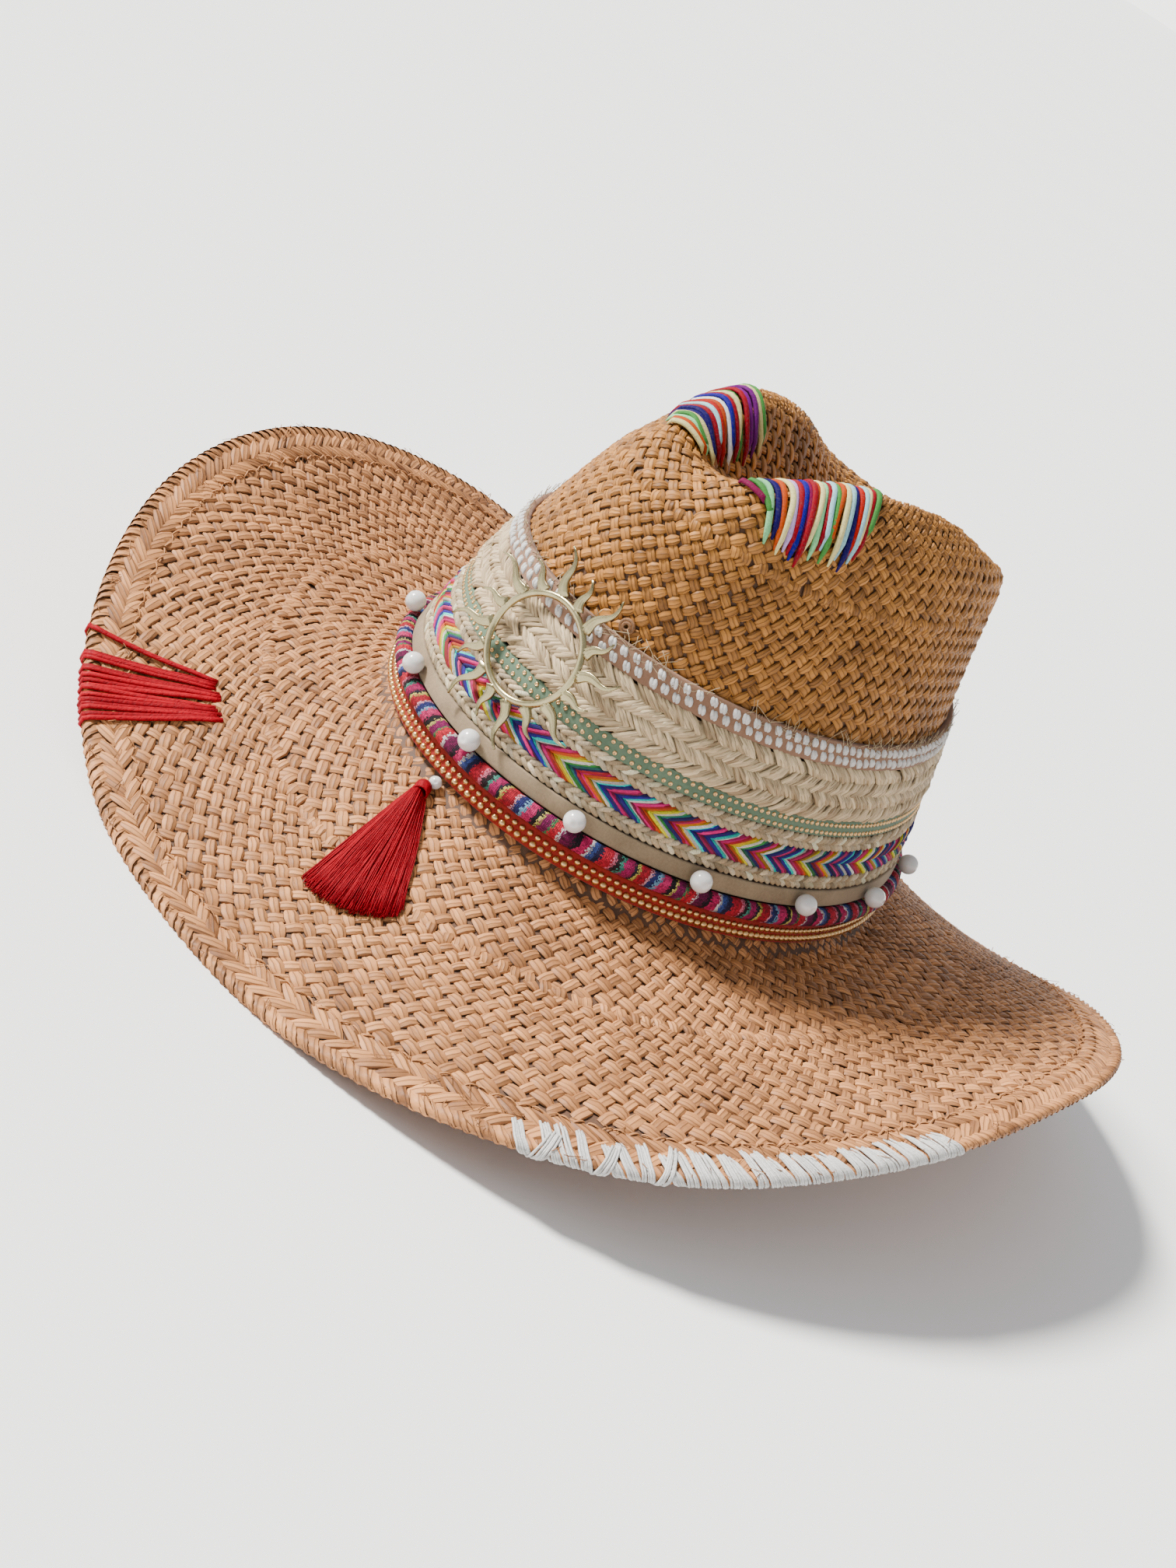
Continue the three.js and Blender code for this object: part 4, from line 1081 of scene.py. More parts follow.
def add_studs(batch, shape, azimuths, run, off):
    """Copies of a small shape standing on the crown at a run"""
    points, quads, caps = shape
    place, out = crown_at(azimuths, np.full(len(azimuths), run))
    along = unit(np.cross(np.array([0, 0, 1.0]), out))
    up = np.cross(out, along)
    centre = place + out * off
    spread = centre[:, None] + along[:, None] * points[None, :, 0, None] + up[:, None] * points[None, :, 1, None]
    spread = spread + out[:, None] * points[None, :, 2, None]
    shift = np.arange(len(azimuths))[:, None, None] * len(points)
    faces = [(quads[None] + shift).reshape(-1, 4), (caps[None] + shift).reshape(-1, 3)]
    tones = np.repeat(random.random(len(azimuths)), len(points))
    batch.add(spread.reshape(-1, 3), faces, None, tones)


RED_STUD_ROWS = [{"run": 6.6 * MM, "radius": 1.2 * MM}, {"run": 9.2 * MM, "radius": 1.0 * MM}]
RED_STUD_PITCH = 2.5 * MM
GREEN_STUD_PITCH = 2.5 * MM


def make_red_studs():
    batch = Batch()
    for index, row in enumerate(RED_STUD_ROWS):
        r = row["radius"]
        shape = dome(10, [(r, 0), (0.97 * r, 0.35 * r), (0.8 * r, 0.68 * r), (0.45 * r, 0.93 * r), (0, r)])
        count = int(band_perimeter(row["run"]) / RED_STUD_PITCH)
        azimuths = (np.arange(count) + 0.5 * index) * 360 / count
        add_studs(batch, shape, azimuths, row["run"], SEAT_GAP + RED_LACE[2])
    make_piece("red_lace_studs", batch, gold)


def make_green_studs():
    r = 0.72 * MM
    shape = dome(10, [(r, 0), (0.95 * r, 0.4 * r), (0.7 * r, 0.62 * r), (0.42 * r, 0.42 * r), (0, 0.05 * r)])
    batch = Batch()
    for index, run in enumerate((43.6 * MM, 46.3 * MM)):
        count = int(band_perimeter(run) / GREEN_STUD_PITCH)
        azimuths = (np.arange(count) + 0.5 * index + random.normal(0, 0.04, count)) * 360 / count
        add_studs(batch, shape, azimuths, run, SEAT_GAP + GREEN_LACE[2])
    make_piece("green_lace_studs", batch, gold)


def band_surface(off):
    """The crown's surface lifted by a band's height, by azimuth and run"""
    def surface(azimuth, run):
        place, out = crown_at(azimuth, run)
        return place + out * off, out
    return surface


# Columns of the jute braid from its lower edge up: run, half width, the way its strands lean and their colours
JUTE_STRANDS = 115
NATURAL = [(0.80, 0.66, 0.44), (0.92, 0.80, 0.58), (0.68, 0.54, 0.34)]
YARN_COLOURS = [
    (0.012, 0.002, 0.152), (0.016, 0.002, 0.366), (0.003, 0.9, 0.9), (0.9, 0.9, 0.9),
    (0.327, 0.002, 0.09), (0.814, 0.002, 0.236), (0.456, 0.002, 0.017), (0.748, 0.093, 0.002),
    (0.653, 0.366, 0.002), (0.9, 0.9, 0.004), (0.9, 0.9, 0.9), (0.036, 0.373, 0.057),
    (0.013, 0.186, 0.182), (0.012, 0.002, 0.152), (0.456, 0.002, 0.017), (0.814, 0.002, 0.236),
    (0.748, 0.093, 0.002), (0.653, 0.366, 0.002), (0.9, 0.9, 0.9), (0.003, 0.9, 0.9),
    (0.016, 0.002, 0.366), (0.012, 0.002, 0.152), (0.814, 0.002, 0.236), (0.327, 0.002, 0.09),
]
JUTE_COLUMNS = [
    {"low": 24.3, "high": 26.6, "lean": -1, "yarns": 2, "half_width": 0.92, "colours": NATURAL},
    {"low": 26.4, "high": 28.6, "lean": 1, "yarns": 2, "half_width": 0.92, "colours": NATURAL},
    {"low": 28.4, "high": 33.2, "lean": -1, "yarns": 4, "half_width": 0.62, "colours": YARN_COLOURS},
    {"low": 33.0, "high": 37.7, "lean": 1, "yarns": 4, "half_width": 0.62, "colours": YARN_COLOURS},
    {"low": 37.5, "high": 39.9, "lean": -1, "yarns": 2, "half_width": 0.92, "colours": NATURAL},
    {"low": 39.7, "high": 42.2, "lean": 1, "yarns": 2, "half_width": 0.92, "colours": NATURAL},
]
JUTE_SLOPE = 27.0


def make_jute_braid():
    batch = Batch()
    step = 360 / JUTE_STRANDS
    perimeter = band_perimeter(33 * MM)
    surface = band_surface(SEAT_GAP + 1.5 * MM)
    steps = np.linspace(-1, 1, 6)
    count = JUTE_STRANDS
    for column in JUTE_COLUMNS:
        middle = (column["low"] + column["high"]) / 2 * MM
        half = (column["high"] - column["low"]) / 2 * MM
        reach = half / math.tan(math.radians(JUTE_SLOPE)) / perimeter * 360
        yarns = column["yarns"]
        for yarn in range(yarns):
            spot = (yarn - (yarns - 1) / 2) * 0.94 / yarns
            azimuth = (np.arange(count) + spot) * step + random.normal(0, 0.05, count)
            lines_u = azimuth[:, None] + column["lean"] * reach * steps
            lines_v = middle + np.ones((count, 1)) * half * steps
            round_lift = 0.3 * MM * (1 - (2 * yarn / (yarns - 1) - 1) ** 2)
            lift = 0.8 * MM + round_lift - 1.1 * MM * np.abs(steps) ** 4
            lift = np.broadcast_to(lift, lines_u.shape) + random.normal(0, 0.14 * MM, (count, 1))
            place, side, out = lay(surface, lines_u, lines_v, lift)
            colours = np.array([column["colours"][(k * yarns + yarn) % len(column["colours"])] for k in range(count)])
            colours = colours * random.uniform(0.6, 1.3, (count, 1))
            tints = np.concatenate([np.clip(colours, 0, 1), np.ones((count, 1))], 1)
            add_strands(batch, place, side, out, column["half_width"] * MM, 0.8 * MM, YARN, random.random(count),
                        tints, laps=4.0)
    # The core under the jute is tinted dark brown: painted shade in the gaps between the braid's strands
    add_braid_core(batch, JUTE_BRAID, 1.4 * MM, (0.10, 0.06, 0.035, 1))
    make_piece("jute_braid_strands", batch, jute, ["jute_braid"])


def add_braid_core(batch, band, thick, tint):
    """A thin flat band under a braid's strands, so that no gap shows through it"""
    start, end, _ = band
    steps = 240
    azimuths = np.arange(steps) * 360 / steps
    inset = 0.6 * MM
    section = [(start + inset, SEAT_GAP), (start + inset, thick), (end - inset, thick), (end - inset, SEAT_GAP)]
    rings = []
    for run, off in section:
        place, out = crown_at(azimuths, np.full(steps, run))
        rings.append(place + out * off)
    before = batch.count
    add_loop(batch, np.stack(rings, 1), 0.2)
    batch.tints[-1] = np.tile(tint, (batch.count - before, 1))


CREAM_ROWS = 4
CREAM_BLOCKS = 82
CREAM_STRANDS = 4


def make_cream_braid():
    batch = Batch()
    start, end, thick = CREAM_BRAID
    rows = CREAM_ROWS
    pitch = (end - start) / rows
    step = 360 / CREAM_BLOCKS
    surface = band_surface(SEAT_GAP + 1.9 * MM)
    for row in range(rows):
        lean = 1 if row % 2 == 0 else -1
        azimuth = (np.arange(CREAM_BLOCKS) + 0.5 * (row // 2 % 2)) * step
        wander = random.normal(0, 0.12, CREAM_BLOCKS)
        for strand in range(CREAM_STRANDS):
            spot = (strand - (CREAM_STRANDS - 1) / 2) / CREAM_STRANDS
            u = azimuth + spot * step * 0.92 + wander * step
            v = start + (row + 0.5) * pitch + np.zeros(CREAM_BLOCKS) + random.normal(0, 0.25 * MM, CREAM_BLOCKS)
            number = CREAM_BLOCKS
            add_floats(batch, surface, u, v, np.full(number, lean * 0.55 * step), np.full(number, 0.74 * pitch),
                       np.full(number, 0.88 * MM), np.full(number, 1.1 * MM), 0.9 * MM, random.random(number),
                       taper=0.3, section=SOFT_ARCH, jitter=0.14)
    add_braid_core(batch, CREAM_BRAID, 1.9 * MM, (1, 1, 1, 1))
    make_piece("cream_braid_strands", batch, cream, ["cream_braid"])


STITCH_PITCH = 3.8 * MM


def make_top_stitches():
    """White stitches over the top lace in two staggered rows"""
    batch = Batch()
    surface = band_surface(SEAT_GAP + TOP_LACE[2])
    for index, run in enumerate((67.4 * MM, 70.7 * MM)):
        count = int(band_perimeter(run) / STITCH_PITCH)
        step = 360 / count
        azimuth = (np.arange(count) + 0.5 * index) * step + random.normal(0, 0.06 * step, count)
        v = np.full(count, run) + random.normal(0, 0.2 * MM, count)
        for strand in range(2):
            off = (strand - 0.5) * 0.24 * step
            add_floats(batch, surface, azimuth + off, v, np.full(count, -0.2 * step), np.full(count, 1.7 * MM),
                       np.full(count, 0.78 * MM), np.full(count, 0.85 * MM), 0.35 * MM, random.random(count), taper=0.55,
                       section=SOFT_ARCH)
    make_piece("top_lace_stitches", batch, white_thread)


def make_fray():
    """Loose fibres along the top lace's upper edge"""
    batch = Batch()
    count = 520
    steps = np.linspace(0, 1, 5)
    azimuth = random.uniform(0, 360, count)
    length = random.uniform(1.5, 5.5, count) * MM
    lean = random.normal(0, 2.2, count)
    curl = random.normal(0, 1.2, count)
    lines_u = azimuth[:, None] + lean[:, None] * steps + curl[:, None] * steps ** 2
    lines_v = TOP_LACE[1] - 1.0 * MM + length[:, None] * steps * random.choice([1.0, 1.0, -0.6], count)[:, None]
    lift = TOP_LACE[2] + SEAT_GAP + random.uniform(0.0, 1.6, count)[:, None] * MM * steps
    place, side, out = lay(crown_at, lines_u, lines_v, lift)
    add_strands(batch, place, side, out, 0.11 * MM, 0.11 * MM, ring_section(3), random.random(count), closed=True)
    make_piece("top_lace_fray", batch, cream)


def make_bands():
    for node_name, piece, band, material, slot in (
        ("red_stud_lace", "red_lace", RED_LACE, red_suede, "red_suede"),
        ("beige_lace", "beige_lace_skin", BEIGE_LACE, beige_suede, "beige_suede"),
        ("green_stud_lace", "green_lace", GREEN_LACE, green_suede, "green_suede"),
        ("top_lace", "top_lace_skin", TOP_LACE, brown_suede, "white_lace"),
    ):
        make_lace_piece(node_name, piece, band, material)
    make_cord()
    make_red_studs()
    make_green_studs()
    make_jute_braid()
    make_cream_braid()
    make_top_stitches()
    make_fray()


def make_lace_piece(node_name, piece, band, material):
    start, end, thick = band
    bevel = 0.5 * MM
    steps = 288
    azimuths = np.arange(steps) * 360 / steps
    section = [
        (start, SEAT_GAP), (start, SEAT_GAP + thick - bevel), (start + 0.3 * bevel, SEAT_GAP + thick - 0.3 * bevel),
        (start + bevel, SEAT_GAP + thick), ((start + end) / 2, SEAT_GAP + thick * 1.04),
        (end - bevel, SEAT_GAP + thick), (end - 0.3 * bevel, SEAT_GAP + thick - 0.3 * bevel),
        (end, SEAT_GAP + thick - bevel), (end, SEAT_GAP),
    ]
    rings = []
    for run, off in section:
        place, out = crown_at(azimuths, np.full(steps, run))
        rings.append(place + out * off)
    batch = Batch()
    add_loop(batch, np.stack(rings, 1))
    make_piece(piece, batch, material, [node_name])


make_bands()


# Beads

def ball(radius, sides, rings):
    profile = [(radius * math.sin(math.pi * k / rings), -radius * math.cos(math.pi * k / rings)) for k in range(1, rings)]
    return dome(sides, profile + [(0, radius)])


def add_ball(batch, centre, radius, out, sides=24, rings=14, hole=0.0):
    """A round bead, dimpled round its thread hole"""
    points, quads, caps = ball(radius, sides, rings)
    near = np.exp(-((np.hypot(points[:, 0], points[:, 1]) / (0.16 * radius)) ** 2)) * (points[:, 2] > 0)
    points[:, 2] -= near * hole * radius
    bottom = np.array([(0, 0, -radius)])
    points = np.concatenate([points, bottom])
    under = np.array([((side + 1) % sides, side, len(points) - 1) for side in range(sides)])
    out = np.asarray(out, float)
    along = unit(np.cross(np.array([0.0, 0.0, 1.0]), out)) if abs(out[2]) < 0.95 else np.array([1.0, 0, 0])
    up = np.cross(out, along)
    placed = centre + points[:, :1] * along + points[:, 1:2] * up + points[:, 2:] * out
    batch.add(placed, [quads, caps, under])


def node_centre(name):
    low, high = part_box(name)
    return np.array((low + high) / 2)


# The tassel's bead, a little smaller than its solid and closer to the lace
TASSEL_BEAD_RADIUS = 2.1 * MM
TASSEL_BEAD_SHIFT = (0, 0.0012, 0.0002)


def make_pearls():
    batch = Batch()
    names = sorted(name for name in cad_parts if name.startswith("pearl_"))
    for name in names:
        centre = node_centre(name)
        azimuth = math.degrees(math.atan2(centre[1], centre[0] - HUB_X))
        _, out = crown_at(np.array([azimuth]), np.array([BEIGE_LACE[0]]))
        add_ball(batch, centre, 3.5 * MM, out[0], hole=0.18)
    make_piece("pearls", batch, pearl, names)
    batch = Batch()
    add_ball(batch, node_centre("tassel_bead") + np.array(TASSEL_BEAD_SHIFT), TASSEL_BEAD_RADIUS, (0.45, -0.7, 0.55),
             hole=0.25)
    make_piece("tassel_bead_skin", batch, pearl, ["tassel_bead"])


make_pearls()


# The sun

SUN_RING_RADIUS = 35.5 / 2 * MM
SUN_WIRE = 2.2 * MM
SUN_THICKNESS = 1.8 * MM
SUN_LONG_RAY = 14.8 * MM
SUN_SHORT_RAY = 9.7 * MM
SUN_RAY_HALF = 1.75 * MM
SUN_RAYS = 16
SUN_TURN = 18.0
SUN_SWEEP = 9.0
SUN_WAVE = 1.25 * MM


def sun_frame():
    """The sun's middle and its three ways: across, up and out, from its box and the wall behind it"""
    centre = node_centre("sun_ornament")
    azimuth = math.degrees(math.atan2(centre[1], centre[0] - HUB_X))
    low, _ = crown_at(np.array([azimuth]), np.array([44 * MM]))
    high, _ = crown_at(np.array([azimuth]), np.array([64 * MM]))
    up = unit(high[0] - low[0])
    out = np.array([math.cos(math.radians(azimuth)), math.sin(math.radians(azimuth)), 0])
    out = unit(out - up * out.dot(up))
    return centre, np.cross(up, out), up, out


def make_sun():
    centre, across, up, out = sun_frame()
    batch = Batch()
    steps = 96
    turns = 2 * math.pi * np.arange(steps) / steps
    middle = SUN_RING_RADIUS - SUN_WIRE / 2
    corners = ring_section(10)
    grid = np.empty((steps, len(corners), 3))
    for index, turn in enumerate(turns):
        radial = across * math.cos(turn) + up * math.sin(turn)
        wire = middle + corners[:, 0] * SUN_WIRE / 2 * 1.05
        rise = corners[:, 1] * SUN_THICKNESS / 2
        grid[index] = centre + wire[:, None] * radial + rise[:, None] * out
    add_loop(batch, grid[::-1])
    along = np.linspace(0, 1, 12)
    for ray in range(SUN_RAYS):
        length = SUN_LONG_RAY if ray % 2 == 0 else SUN_SHORT_RAY
        share = along
        reach = SUN_RING_RADIUS - 0.4 * MM + length * share
        swept = math.radians(360 * ray / SUN_RAYS + SUN_TURN) - math.radians(SUN_SWEEP) * (1 - share)
        wave = SUN_WAVE * (length / SUN_LONG_RAY) * np.sin(2 * math.pi * share)
        x = reach * np.cos(swept) - wave * np.sin(swept)
        y = reach * np.sin(swept) + wave * np.cos(swept)
        place = centre + x[:, None] * across + y[:, None] * up
        tangent = unit(np.gradient(place, axis=0))
        side = np.cross(out, tangent)
        wide = SUN_RAY_HALF * (1 - share ** 0.9) + 0.22 * MM
        high = SUN_THICKNESS / 2 * (1.05 - 0.55 * share)
        section = np.array([(-1, -0.75), (-1, 0.1), (-0.75, 0.75), (-0.5, 0.3), (-0.25, 1.0), (0.05, 0.45), (0.35, 1.0),
                            (0.62, 0.3), (0.85, 0.7), (1, 0.1), (1, -0.75)])
        add_strands(batch, place[None], -side[None], np.broadcast_to(out, place.shape)[None], wide[None], high[None],
                    section[::-1], [0.5], closed=True)
    make_piece("sun", batch, brass, ["sun_ornament"])


make_sun()


# The tassel

def brim_place(x, y, lift):
    """A place over the brim in plan, lifted off it"""
    azimuth = np.degrees(np.arctan2(y, x - HUB_X))
    radius = np.hypot(x - HUB_X, y)
    rim = read_grid(brim_grid, azimuth, np.full(np.shape(azimuth), BRIM_STEPS))
    foot = read_grid(brim_grid, azimuth, np.zeros(np.shape(azimuth)))
    outer = np.hypot(rim[..., 0] - HUB_X, rim[..., 1])
    inner = np.hypot(foot[..., 0] - HUB_X, foot[..., 1])
    place, out = brim_at(azimuth, np.clip((radius - inner) / (outer - inner), 0, 1))
    return place + out * np.asarray(lift)[..., None], out


TASSEL_THREADS = 1250
TASSEL_LENGTH = 46 * MM
TASSEL_LEAN = 31.0
TASSEL_SKIRT = 14 * MM
TASSEL_AZIMUTH = -89.4


def make_tassel():
    bead = node_centre("tassel_bead")
    azimuth = math.radians(TASSEL_AZIMUTH)
    out = np.array([math.cos(azimuth), math.sin(azimuth), 0])
    turn = math.radians(TASSEL_LEAN)
    along = np.array([out[0] * math.cos(turn) - out[1] * math.sin(turn), out[0] * math.sin(turn) + out[1] * math.cos(turn), 0])
    across = np.array([-along[1], along[0], 0])
    head = bead - along * 2.0 * MM + across * 0.8 * MM
    batch = Batch()
    steps = np.linspace(0, 1, 8)
    count = TASSEL_THREADS
    fan = random.uniform(-1, 1, count)
    layer = random.random(count)
    length = (TASSEL_LENGTH - 1 * MM) * (1 - 0.10 * fan ** 2) * random.uniform(0.94, 1.04, count)
    wave = random.normal(0, 0.55, count) * MM
    phase = random.uniform(0, 6.3, count)
    speed = random.uniform(2.5, 7.0, (count, 1))
    spread = (0.14 + 0.86 * steps ** 0.9) * TASSEL_SKIRT
    reach = length[:, None] * steps
    side = fan[:, None] * spread + wave[:, None] * np.sin(speed * steps + phase[:, None]) * steps
    x = head[0] + reach * along[0] + side * across[0]
    y = head[1] + reach * along[1] + side * across[1]
    thick = 5.0 * MM * (1 - 0.6 * fan[:, None] ** 2) * (1 - 0.5 * steps ** 0.8)
    lift = 0.4 * MM + layer[:, None] * thick
    place, up = brim_place(x, y, lift)
    tangent = unit(np.gradient(place, axis=1))
    ways = unit(np.cross(up, tangent))
    add_strands(batch, place, ways, np.cross(tangent, ways), 0.18 * MM, 0.18 * MM, ring_section(3), random.random(count),
                closed=True, laps=6)
    add_neck(batch, head, along, across)
    make_piece("tassel_threads", batch, red_thread, ["tassel"])


def add_neck(batch, head, along, across):
    """Threads wound round the tassel's neck, and its round head"""
    up = np.array([0, 0, 1.0])
    base, _ = brim_place(np.array([head[0]]), np.array([head[1]]), np.array([0.0]))
    centre = base[0] + up * 2.7 * MM
    add_ball(batch, centre, 2.7 * MM, along, 16, 10)
    for turn in range(5):
        angle = np.linspace(0, 2 * math.pi, 15)[:-1]
        middle = centre + along * (1.2 + 0.6 * turn) * MM - up * 0.1 * MM * turn
        radius = (2.2 + 0.04 * turn) * MM
        ring = middle + radius * (np.cos(angle)[:, None] * across + np.sin(angle)[:, None] * up)
        radial = unit(ring - middle)
        corners = ring_section(6)
        grid = ring[:, None] + 0.42 * MM * (corners[:, 0, None] * along + corners[:, 1, None] * radial[:, None])
        add_loop(batch, grid, 0.3)


make_tassel()


# Threads over the crown and the brim's edge

MAGENTA = (0.241, 0.001, 0.066)
GREEN = (0.075, 0.33, 0.06)
MINT = (0.30, 0.80, 0.36)
NAVY = (0.009, 0.001, 0.112)
BLUE = (0.011, 0.001, 0.269)
ORANGE = (0.55, 0.068, 0.001)
CREAM = (0.90, 0.80, 0.34)
LILAC = (0.62, 0.42, 0.80)
CRIMSON = (0.336, 0.001, 0.012)
SKY = (0.42, 0.80, 0.88)
SCARLET = (0.521, 0.007, 0.001)
PURPLE = (0.183, 0.001, 0.216)
WHITE = (0.9, 0.9, 0.9)

# The two groups over the crown's ridges, in millimetres in plan from the crown's middle. Each row is a share of
# the group, the place where its strand crosses the ridge, its near end and how far it goes beyond the ridge
THREAD_GROUPS = [
    {
        "name": "crown_threads_left",
        "colours": [
            MAGENTA, GREEN, MINT, NAVY, ORANGE, CREAM, LILAC, CRIMSON, BLUE, MAGENTA, CRIMSON, ORANGE, CREAM, MINT, CRIMSON,
            SKY, GREEN, ORANGE, CREAM, SKY, NAVY, SCARLET, SKY, CREAM, CRIMSON, GREEN,
        ],
        "rows": [
            (0.0, (14.0, -69.5), (20.8, -66.7), 2), (0.08, (16.0, -64.0), (28.2, -66.3), 4),
            (0.17, (18.4, -58.6), (31.3, -63.7), 6), (0.33, (20.6, -50.5), (34.7, -58.7), 7),
            (0.50, (22.5, -45.0), (35.6, -54.0), 8), (0.67, (24.5, -39.0), (37.5, -47.3), 8),
            (0.85, (27.0, -31.0), (39.8, -39.5), 8), (1.0, (29.1, -24.9), (37.9, -33.5), 7),
        ],
    },
    {
        "name": "crown_threads_right",
        "colours": [
            CREAM, ORANGE, MINT, GREEN, CREAM, NAVY, NAVY, CRIMSON, SKY, SCARLET, ORANGE, WHITE, BLUE, CRIMSON, CREAM, GREEN,
            CRIMSON, PURPLE, PURPLE, CREAM, GREEN,
        ],
        "rows": [
            (0.0, (-20.3, -65.5), (-9.7, -61.3), 2), (0.3, (-24.1, -55.0), (-8.0, -54.0), 6),
            (0.5, (-27.0, -46.0), (-8.6, -47.7), 9), (0.75, (-30.1, -35.5), (-11.5, -39.1), 10),
            (0.9, (-31.0, -29.0), (-13.2, -29.0), 10), (1.0, (-31.2, -25.0), (-14.3, -23.3), 9),
        ],
    },
]


def spaced_rows(rows, count):
    """The group's places and lengths for each of its strands, in metres"""
    share = np.linspace(0, 1, count)
    shares = [row[0] for row in rows]
    values = np.array([(*row[1], *row[2], row[3]) for row in rows]) * MM
    spread = np.stack([np.interp(share, shares, values[:, column]) for column in range(5)], 1)
    return spread[:, :2], spread[:, 2:4], spread[:, 4:]


def make_crown_threads():
    steps = np.linspace(0, 1, 18)
    for group in THREAD_GROUPS:
        count = len(group["colours"])
        ridge, near, beyond = spaced_rows(group["rows"], count)
        far = ridge + unit(ridge - near) * beyond * random.uniform(0.85, 1.1, (count, 1))
        near = near + (near - ridge) * random.uniform(-0.12, 0.06, (count, 1)) + random.normal(0, 0.5 * MM, (count, 2))
        reach = np.stack([np.linalg.norm(near - ridge, axis=1), np.linalg.norm(ridge - far, axis=1)], 1)
        turn = reach[:, :1] / reach.sum(axis=1, keepdims=True)
        first = np.clip(steps / turn, 0, 1)[..., None]
        second = np.clip((steps - turn) / (1 - turn), 0, 1)[..., None]
        plan = near[:, None] + (ridge - near)[:, None] * first + (far - ridge)[:, None] * second
        plan = blurred(plan, 1.2, 1, False)
        sway = random.normal(0, 0.45, (count, 1)) * np.sin(2 * math.pi * steps + random.uniform(0, 6, (count, 1)))
        plan = plan + sway[..., None] * (np.array([0.6, 0.8]) * MM)
        lift = 1.15 * MM * np.minimum(1, 9 * np.minimum(steps, 1 - steps)) - 0.1 * MM
        lift = lift + random.uniform(0, 0.6, (count, 1)) * MM
        place, side, out = lay(top_field.place, plan[..., 0], plan[..., 1], lift)
        tints = np.concatenate([np.array(group["colours"]), np.ones((count, 1))], 1)
        ends = np.minimum(1, 6 * np.minimum(steps, 1 - steps) + 0.35)
        batch = Batch()
        add_strands(batch, place, side, out, 1.1 * MM * ends, 0.7 * MM * ends, ring_section(8), random.random(count),
                    tints, closed=True, laps=8)
        make_piece(group["name"], batch, coloured_thread)


# Red stitches over the brim's edge: azimuths at the edge and at their inner ends
RED_STITCH_EDGE = (-123.1, -119.9, -112.0)
RED_STITCH_INNER = (-117.3, -117.0, -111.2)
RED_STITCH_COUNT = 15
RED_STITCH_SHARE = 0.56


def make_red_stitches():
    batch = Batch()
    share = np.linspace(0, 1, RED_STITCH_COUNT)
    edge = RED_STITCH_EDGE[1] + (RED_STITCH_EDGE[2] - RED_STITCH_EDGE[1]) * share
    inner = RED_STITCH_INNER[1] + (RED_STITCH_INNER[2] - RED_STITCH_INNER[1]) * share
    edge = np.concatenate([[RED_STITCH_EDGE[0]], edge]) + random.normal(0, 0.15, RED_STITCH_COUNT + 1)
    inner = np.concatenate([[RED_STITCH_INNER[0]], inner]) + random.normal(0, 0.2, RED_STITCH_COUNT + 1)
    steps = np.linspace(0, 1, 26)
    start = RED_STITCH_SHARE + random.normal(0, 0.012, RED_STITCH_COUNT + 1)
    lines_v = start[:, None] + (BRIM_SPAN - 2 * start)[:, None] * steps
    away = 1 - np.abs(2 * steps - 1)
    lines_u = inner[:, None] + (edge - inner)[:, None] * away
    lift = 1.0 * MM * np.minimum(1, 10 * np.minimum(steps, 1 - steps)) + random.uniform(0, 0.4, (RED_STITCH_COUNT + 1, 1)) * MM
    place, side, out = lay(brim_at, lines_u, lines_v, lift)
    add_strands(batch, place, side, out, 0.95 * MM, 0.6 * MM, ring_section(8), random.random(RED_STITCH_COUNT + 1),
                closed=True, laps=10)
    make_piece("rim_threads_red", batch, red_thread)


# White whipstitch over the near edge: bundles of fine yarns, most of them leaning one way
WHIP_FROM = -53.4
WHIP_TO = -10.2
WHIP_COUNT = 35
WHIP_STRANDS = 5
WHIP_SPACING = 0.22


def make_whipstitch():
    batch = Batch()
    middle = BRIM_SPAN / 2
    steps = np.linspace(-1, 1, 13)
    for index in range(WHIP_COUNT):
        base = WHIP_FROM + (WHIP_TO - WHIP_FROM) * (index + 0.5) / WHIP_COUNT
        crossing = base < -38 and index % 4 == 1
        lean = -0.8 if crossing else random.uniform(0.8, 1.7)
        strands = WHIP_STRANDS
        spot = (np.arange(strands) - (strands - 1) / 2) * WHIP_SPACING
        reach = random.uniform(0.125, 0.165) + random.normal(0, 0.006, strands)
        lines_v = middle + reach[:, None] * steps
        lines_u = base + spot[:, None] * (1 - 0.25 * np.abs(steps)) + lean * steps + random.normal(0, 0.05, (strands, 1))
        base_lift = 1.0 * MM if crossing else 0.6 * MM
        lift = (base_lift + 0.3 * MM * random.random((strands, 1))) * np.minimum(1, 5 * (1 - np.abs(steps)) + 0.1)
        place, side, out = lay(brim_at, lines_u, lines_v, lift)
        add_strands(batch, place, side, out, 0.42 * MM, 0.4 * MM, ring_section(6), random.random(strands), closed=True,
                    laps=6)
    make_piece("rim_whipstitch", batch, white_thread)


# A small straw knot that stands out of the crown's weave over the top lace
KNOT_AZIMUTH = -78.7
KNOT_RUN = 76.5 * MM
KNOT_TINT = (0.42, 0.20, 0.08, 1)


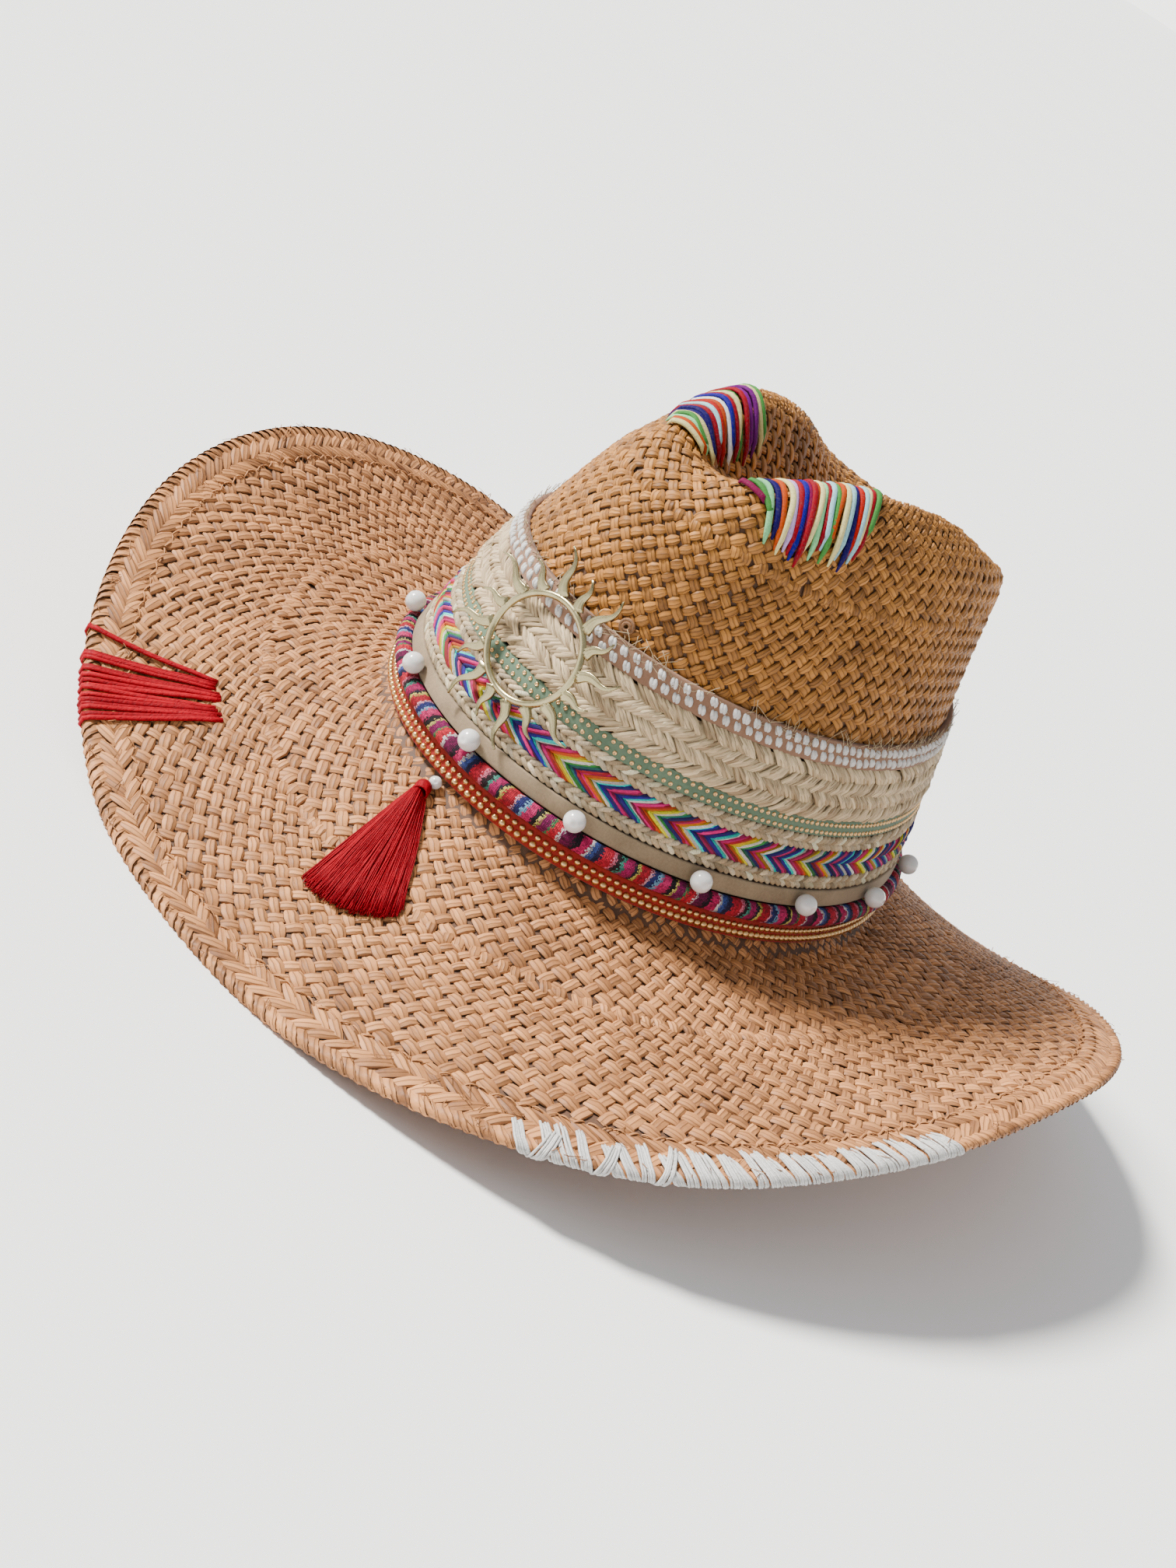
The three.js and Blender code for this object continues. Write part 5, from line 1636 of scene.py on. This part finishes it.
def make_knot():
    place, out = (part[0] for part in crown_at(np.array([KNOT_AZIMUTH]), np.array([KNOT_RUN])))
    along = unit(np.cross(np.array([0, 0, 1.0]), out))
    up = np.cross(out, along)
    turns = 2 * math.pi * np.arange(20) / 20
    corners = ring_section(7)
    batch = Batch()
    for radius, rise, wire in ((2.0, 0.9, 0.62), (1.1, 1.3, 0.55)):
        radial = along * np.cos(turns)[:, None] + up * np.sin(turns)[:, None]
        ring = place + out * rise * MM + radial * radius * MM
        grid = ring[:, None] + wire * MM * (corners[:, 0, None] * radial[:, None] - corners[:, 1, None] * out)
        before = batch.count
        add_loop(batch, grid, 0.4)
        batch.tints[-1] = np.tile(KNOT_TINT, (batch.count - before, 1))
    make_piece("crown_knot", batch, jute)


make_knot()
make_crown_threads()
make_red_stitches()
make_whipstitch()


# The floor, the light and the camera

CAMERA_TARGET = Vector((17.75, -56.46, 54.8)) * MM
CAMERA_AZIMUTH = math.radians(30.05)
CAMERA_ELEVATION = math.radians(23.82)
CAMERA_ROLL = math.radians(32.81)
CAMERA_DISTANCE = 690.62 * MM
CAMERA_LENS = 50.41


def make_camera():
    back = Vector((
        math.sin(CAMERA_AZIMUTH) * math.cos(CAMERA_ELEVATION),
        -math.cos(CAMERA_AZIMUTH) * math.cos(CAMERA_ELEVATION),
        math.sin(CAMERA_ELEVATION),
    ))
    level = Vector((math.cos(CAMERA_AZIMUTH), math.sin(CAMERA_AZIMUTH), 0))
    raised = back.cross(level)
    right = math.cos(CAMERA_ROLL) * level + math.sin(CAMERA_ROLL) * raised
    up = back.cross(right)
    data = bpy.data.cameras.new("camera")
    data.lens = CAMERA_LENS
    data.sensor_fit = "VERTICAL"
    data.sensor_height = 36
    data.sensor_width = 36
    data.clip_start = 0.01
    camera = bpy.data.objects.new("camera", data)
    turn = Matrix((right, up, back)).transposed().to_4x4()
    camera.matrix_world = Matrix.Translation(CAMERA_TARGET + back * CAMERA_DISTANCE) @ turn
    bpy.context.scene.collection.objects.link(camera)
    bpy.context.scene.camera = camera


FLOOR_HALF = 40.0
BACKDROP_RISE = 6.0


def make_floor():
    """A wide plain floor whose far border rises as a backdrop"""
    corners = [(-1, -1), (1, -1), (1, 1), (-1, 1)]
    points = [(x * FLOOR_HALF, y * FLOOR_HALF, 0) for x, y in corners]
    points += [(1.3 * x * FLOOR_HALF, 1.3 * y * FLOOR_HALF, BACKDROP_RISE) for x, y in corners]
    faces = [(0, 1, 2, 3)] + [(k, (k + 1) % 4, (k + 1) % 4 + 4, k + 4)[::-1] for k in range(4)]
    mesh = bpy.data.meshes.new("floor")
    mesh.from_pydata(points, [], faces)
    material, tree, shader = new_material("floor")
    cloud = noise(tree, object_place(tree), 3.0)
    tree.links.new(mixed(tree, cloud, (0.88, 0.88, 0.88, 1), (0.93, 0.93, 0.93, 1)), shader.inputs["Base Color"])
    shader.inputs["Roughness"].default_value = 0.85
    mesh.materials.append(material)
    floor = bpy.data.objects.new("floor", mesh)
    bpy.context.scene.collection.objects.link(floor)


# The light: a wide soft sun as the key, and a pale room round it
KEY_FROM = Vector((-1.0, -0.55, 1.1))
KEY_STRENGTH = 12.0
KEY_SPREAD = math.radians(12)
ROOM_STRENGTH = 0.65


def make_lights():
    data = bpy.data.lights.new("key", "SUN")
    data.energy = KEY_STRENGTH
    data.angle = KEY_SPREAD
    data.color = (1.0, 0.97, 0.93)
    light = bpy.data.objects.new("key", data)
    light.location = KEY_FROM
    light.rotation_mode = "QUATERNION"
    light.rotation_quaternion = (-KEY_FROM).to_track_quat("-Z", "Y")
    bpy.context.scene.collection.objects.link(light)
    world = bpy.data.worlds.new("world")
    world.use_nodes = True
    world.node_tree.nodes["Background"].inputs[0].default_value = (0.97, 0.98, 1.0, 1)
    world.node_tree.nodes["Background"].inputs[1].default_value = ROOM_STRENGTH
    bpy.context.scene.world = world


make_camera()
make_floor()
make_lights()
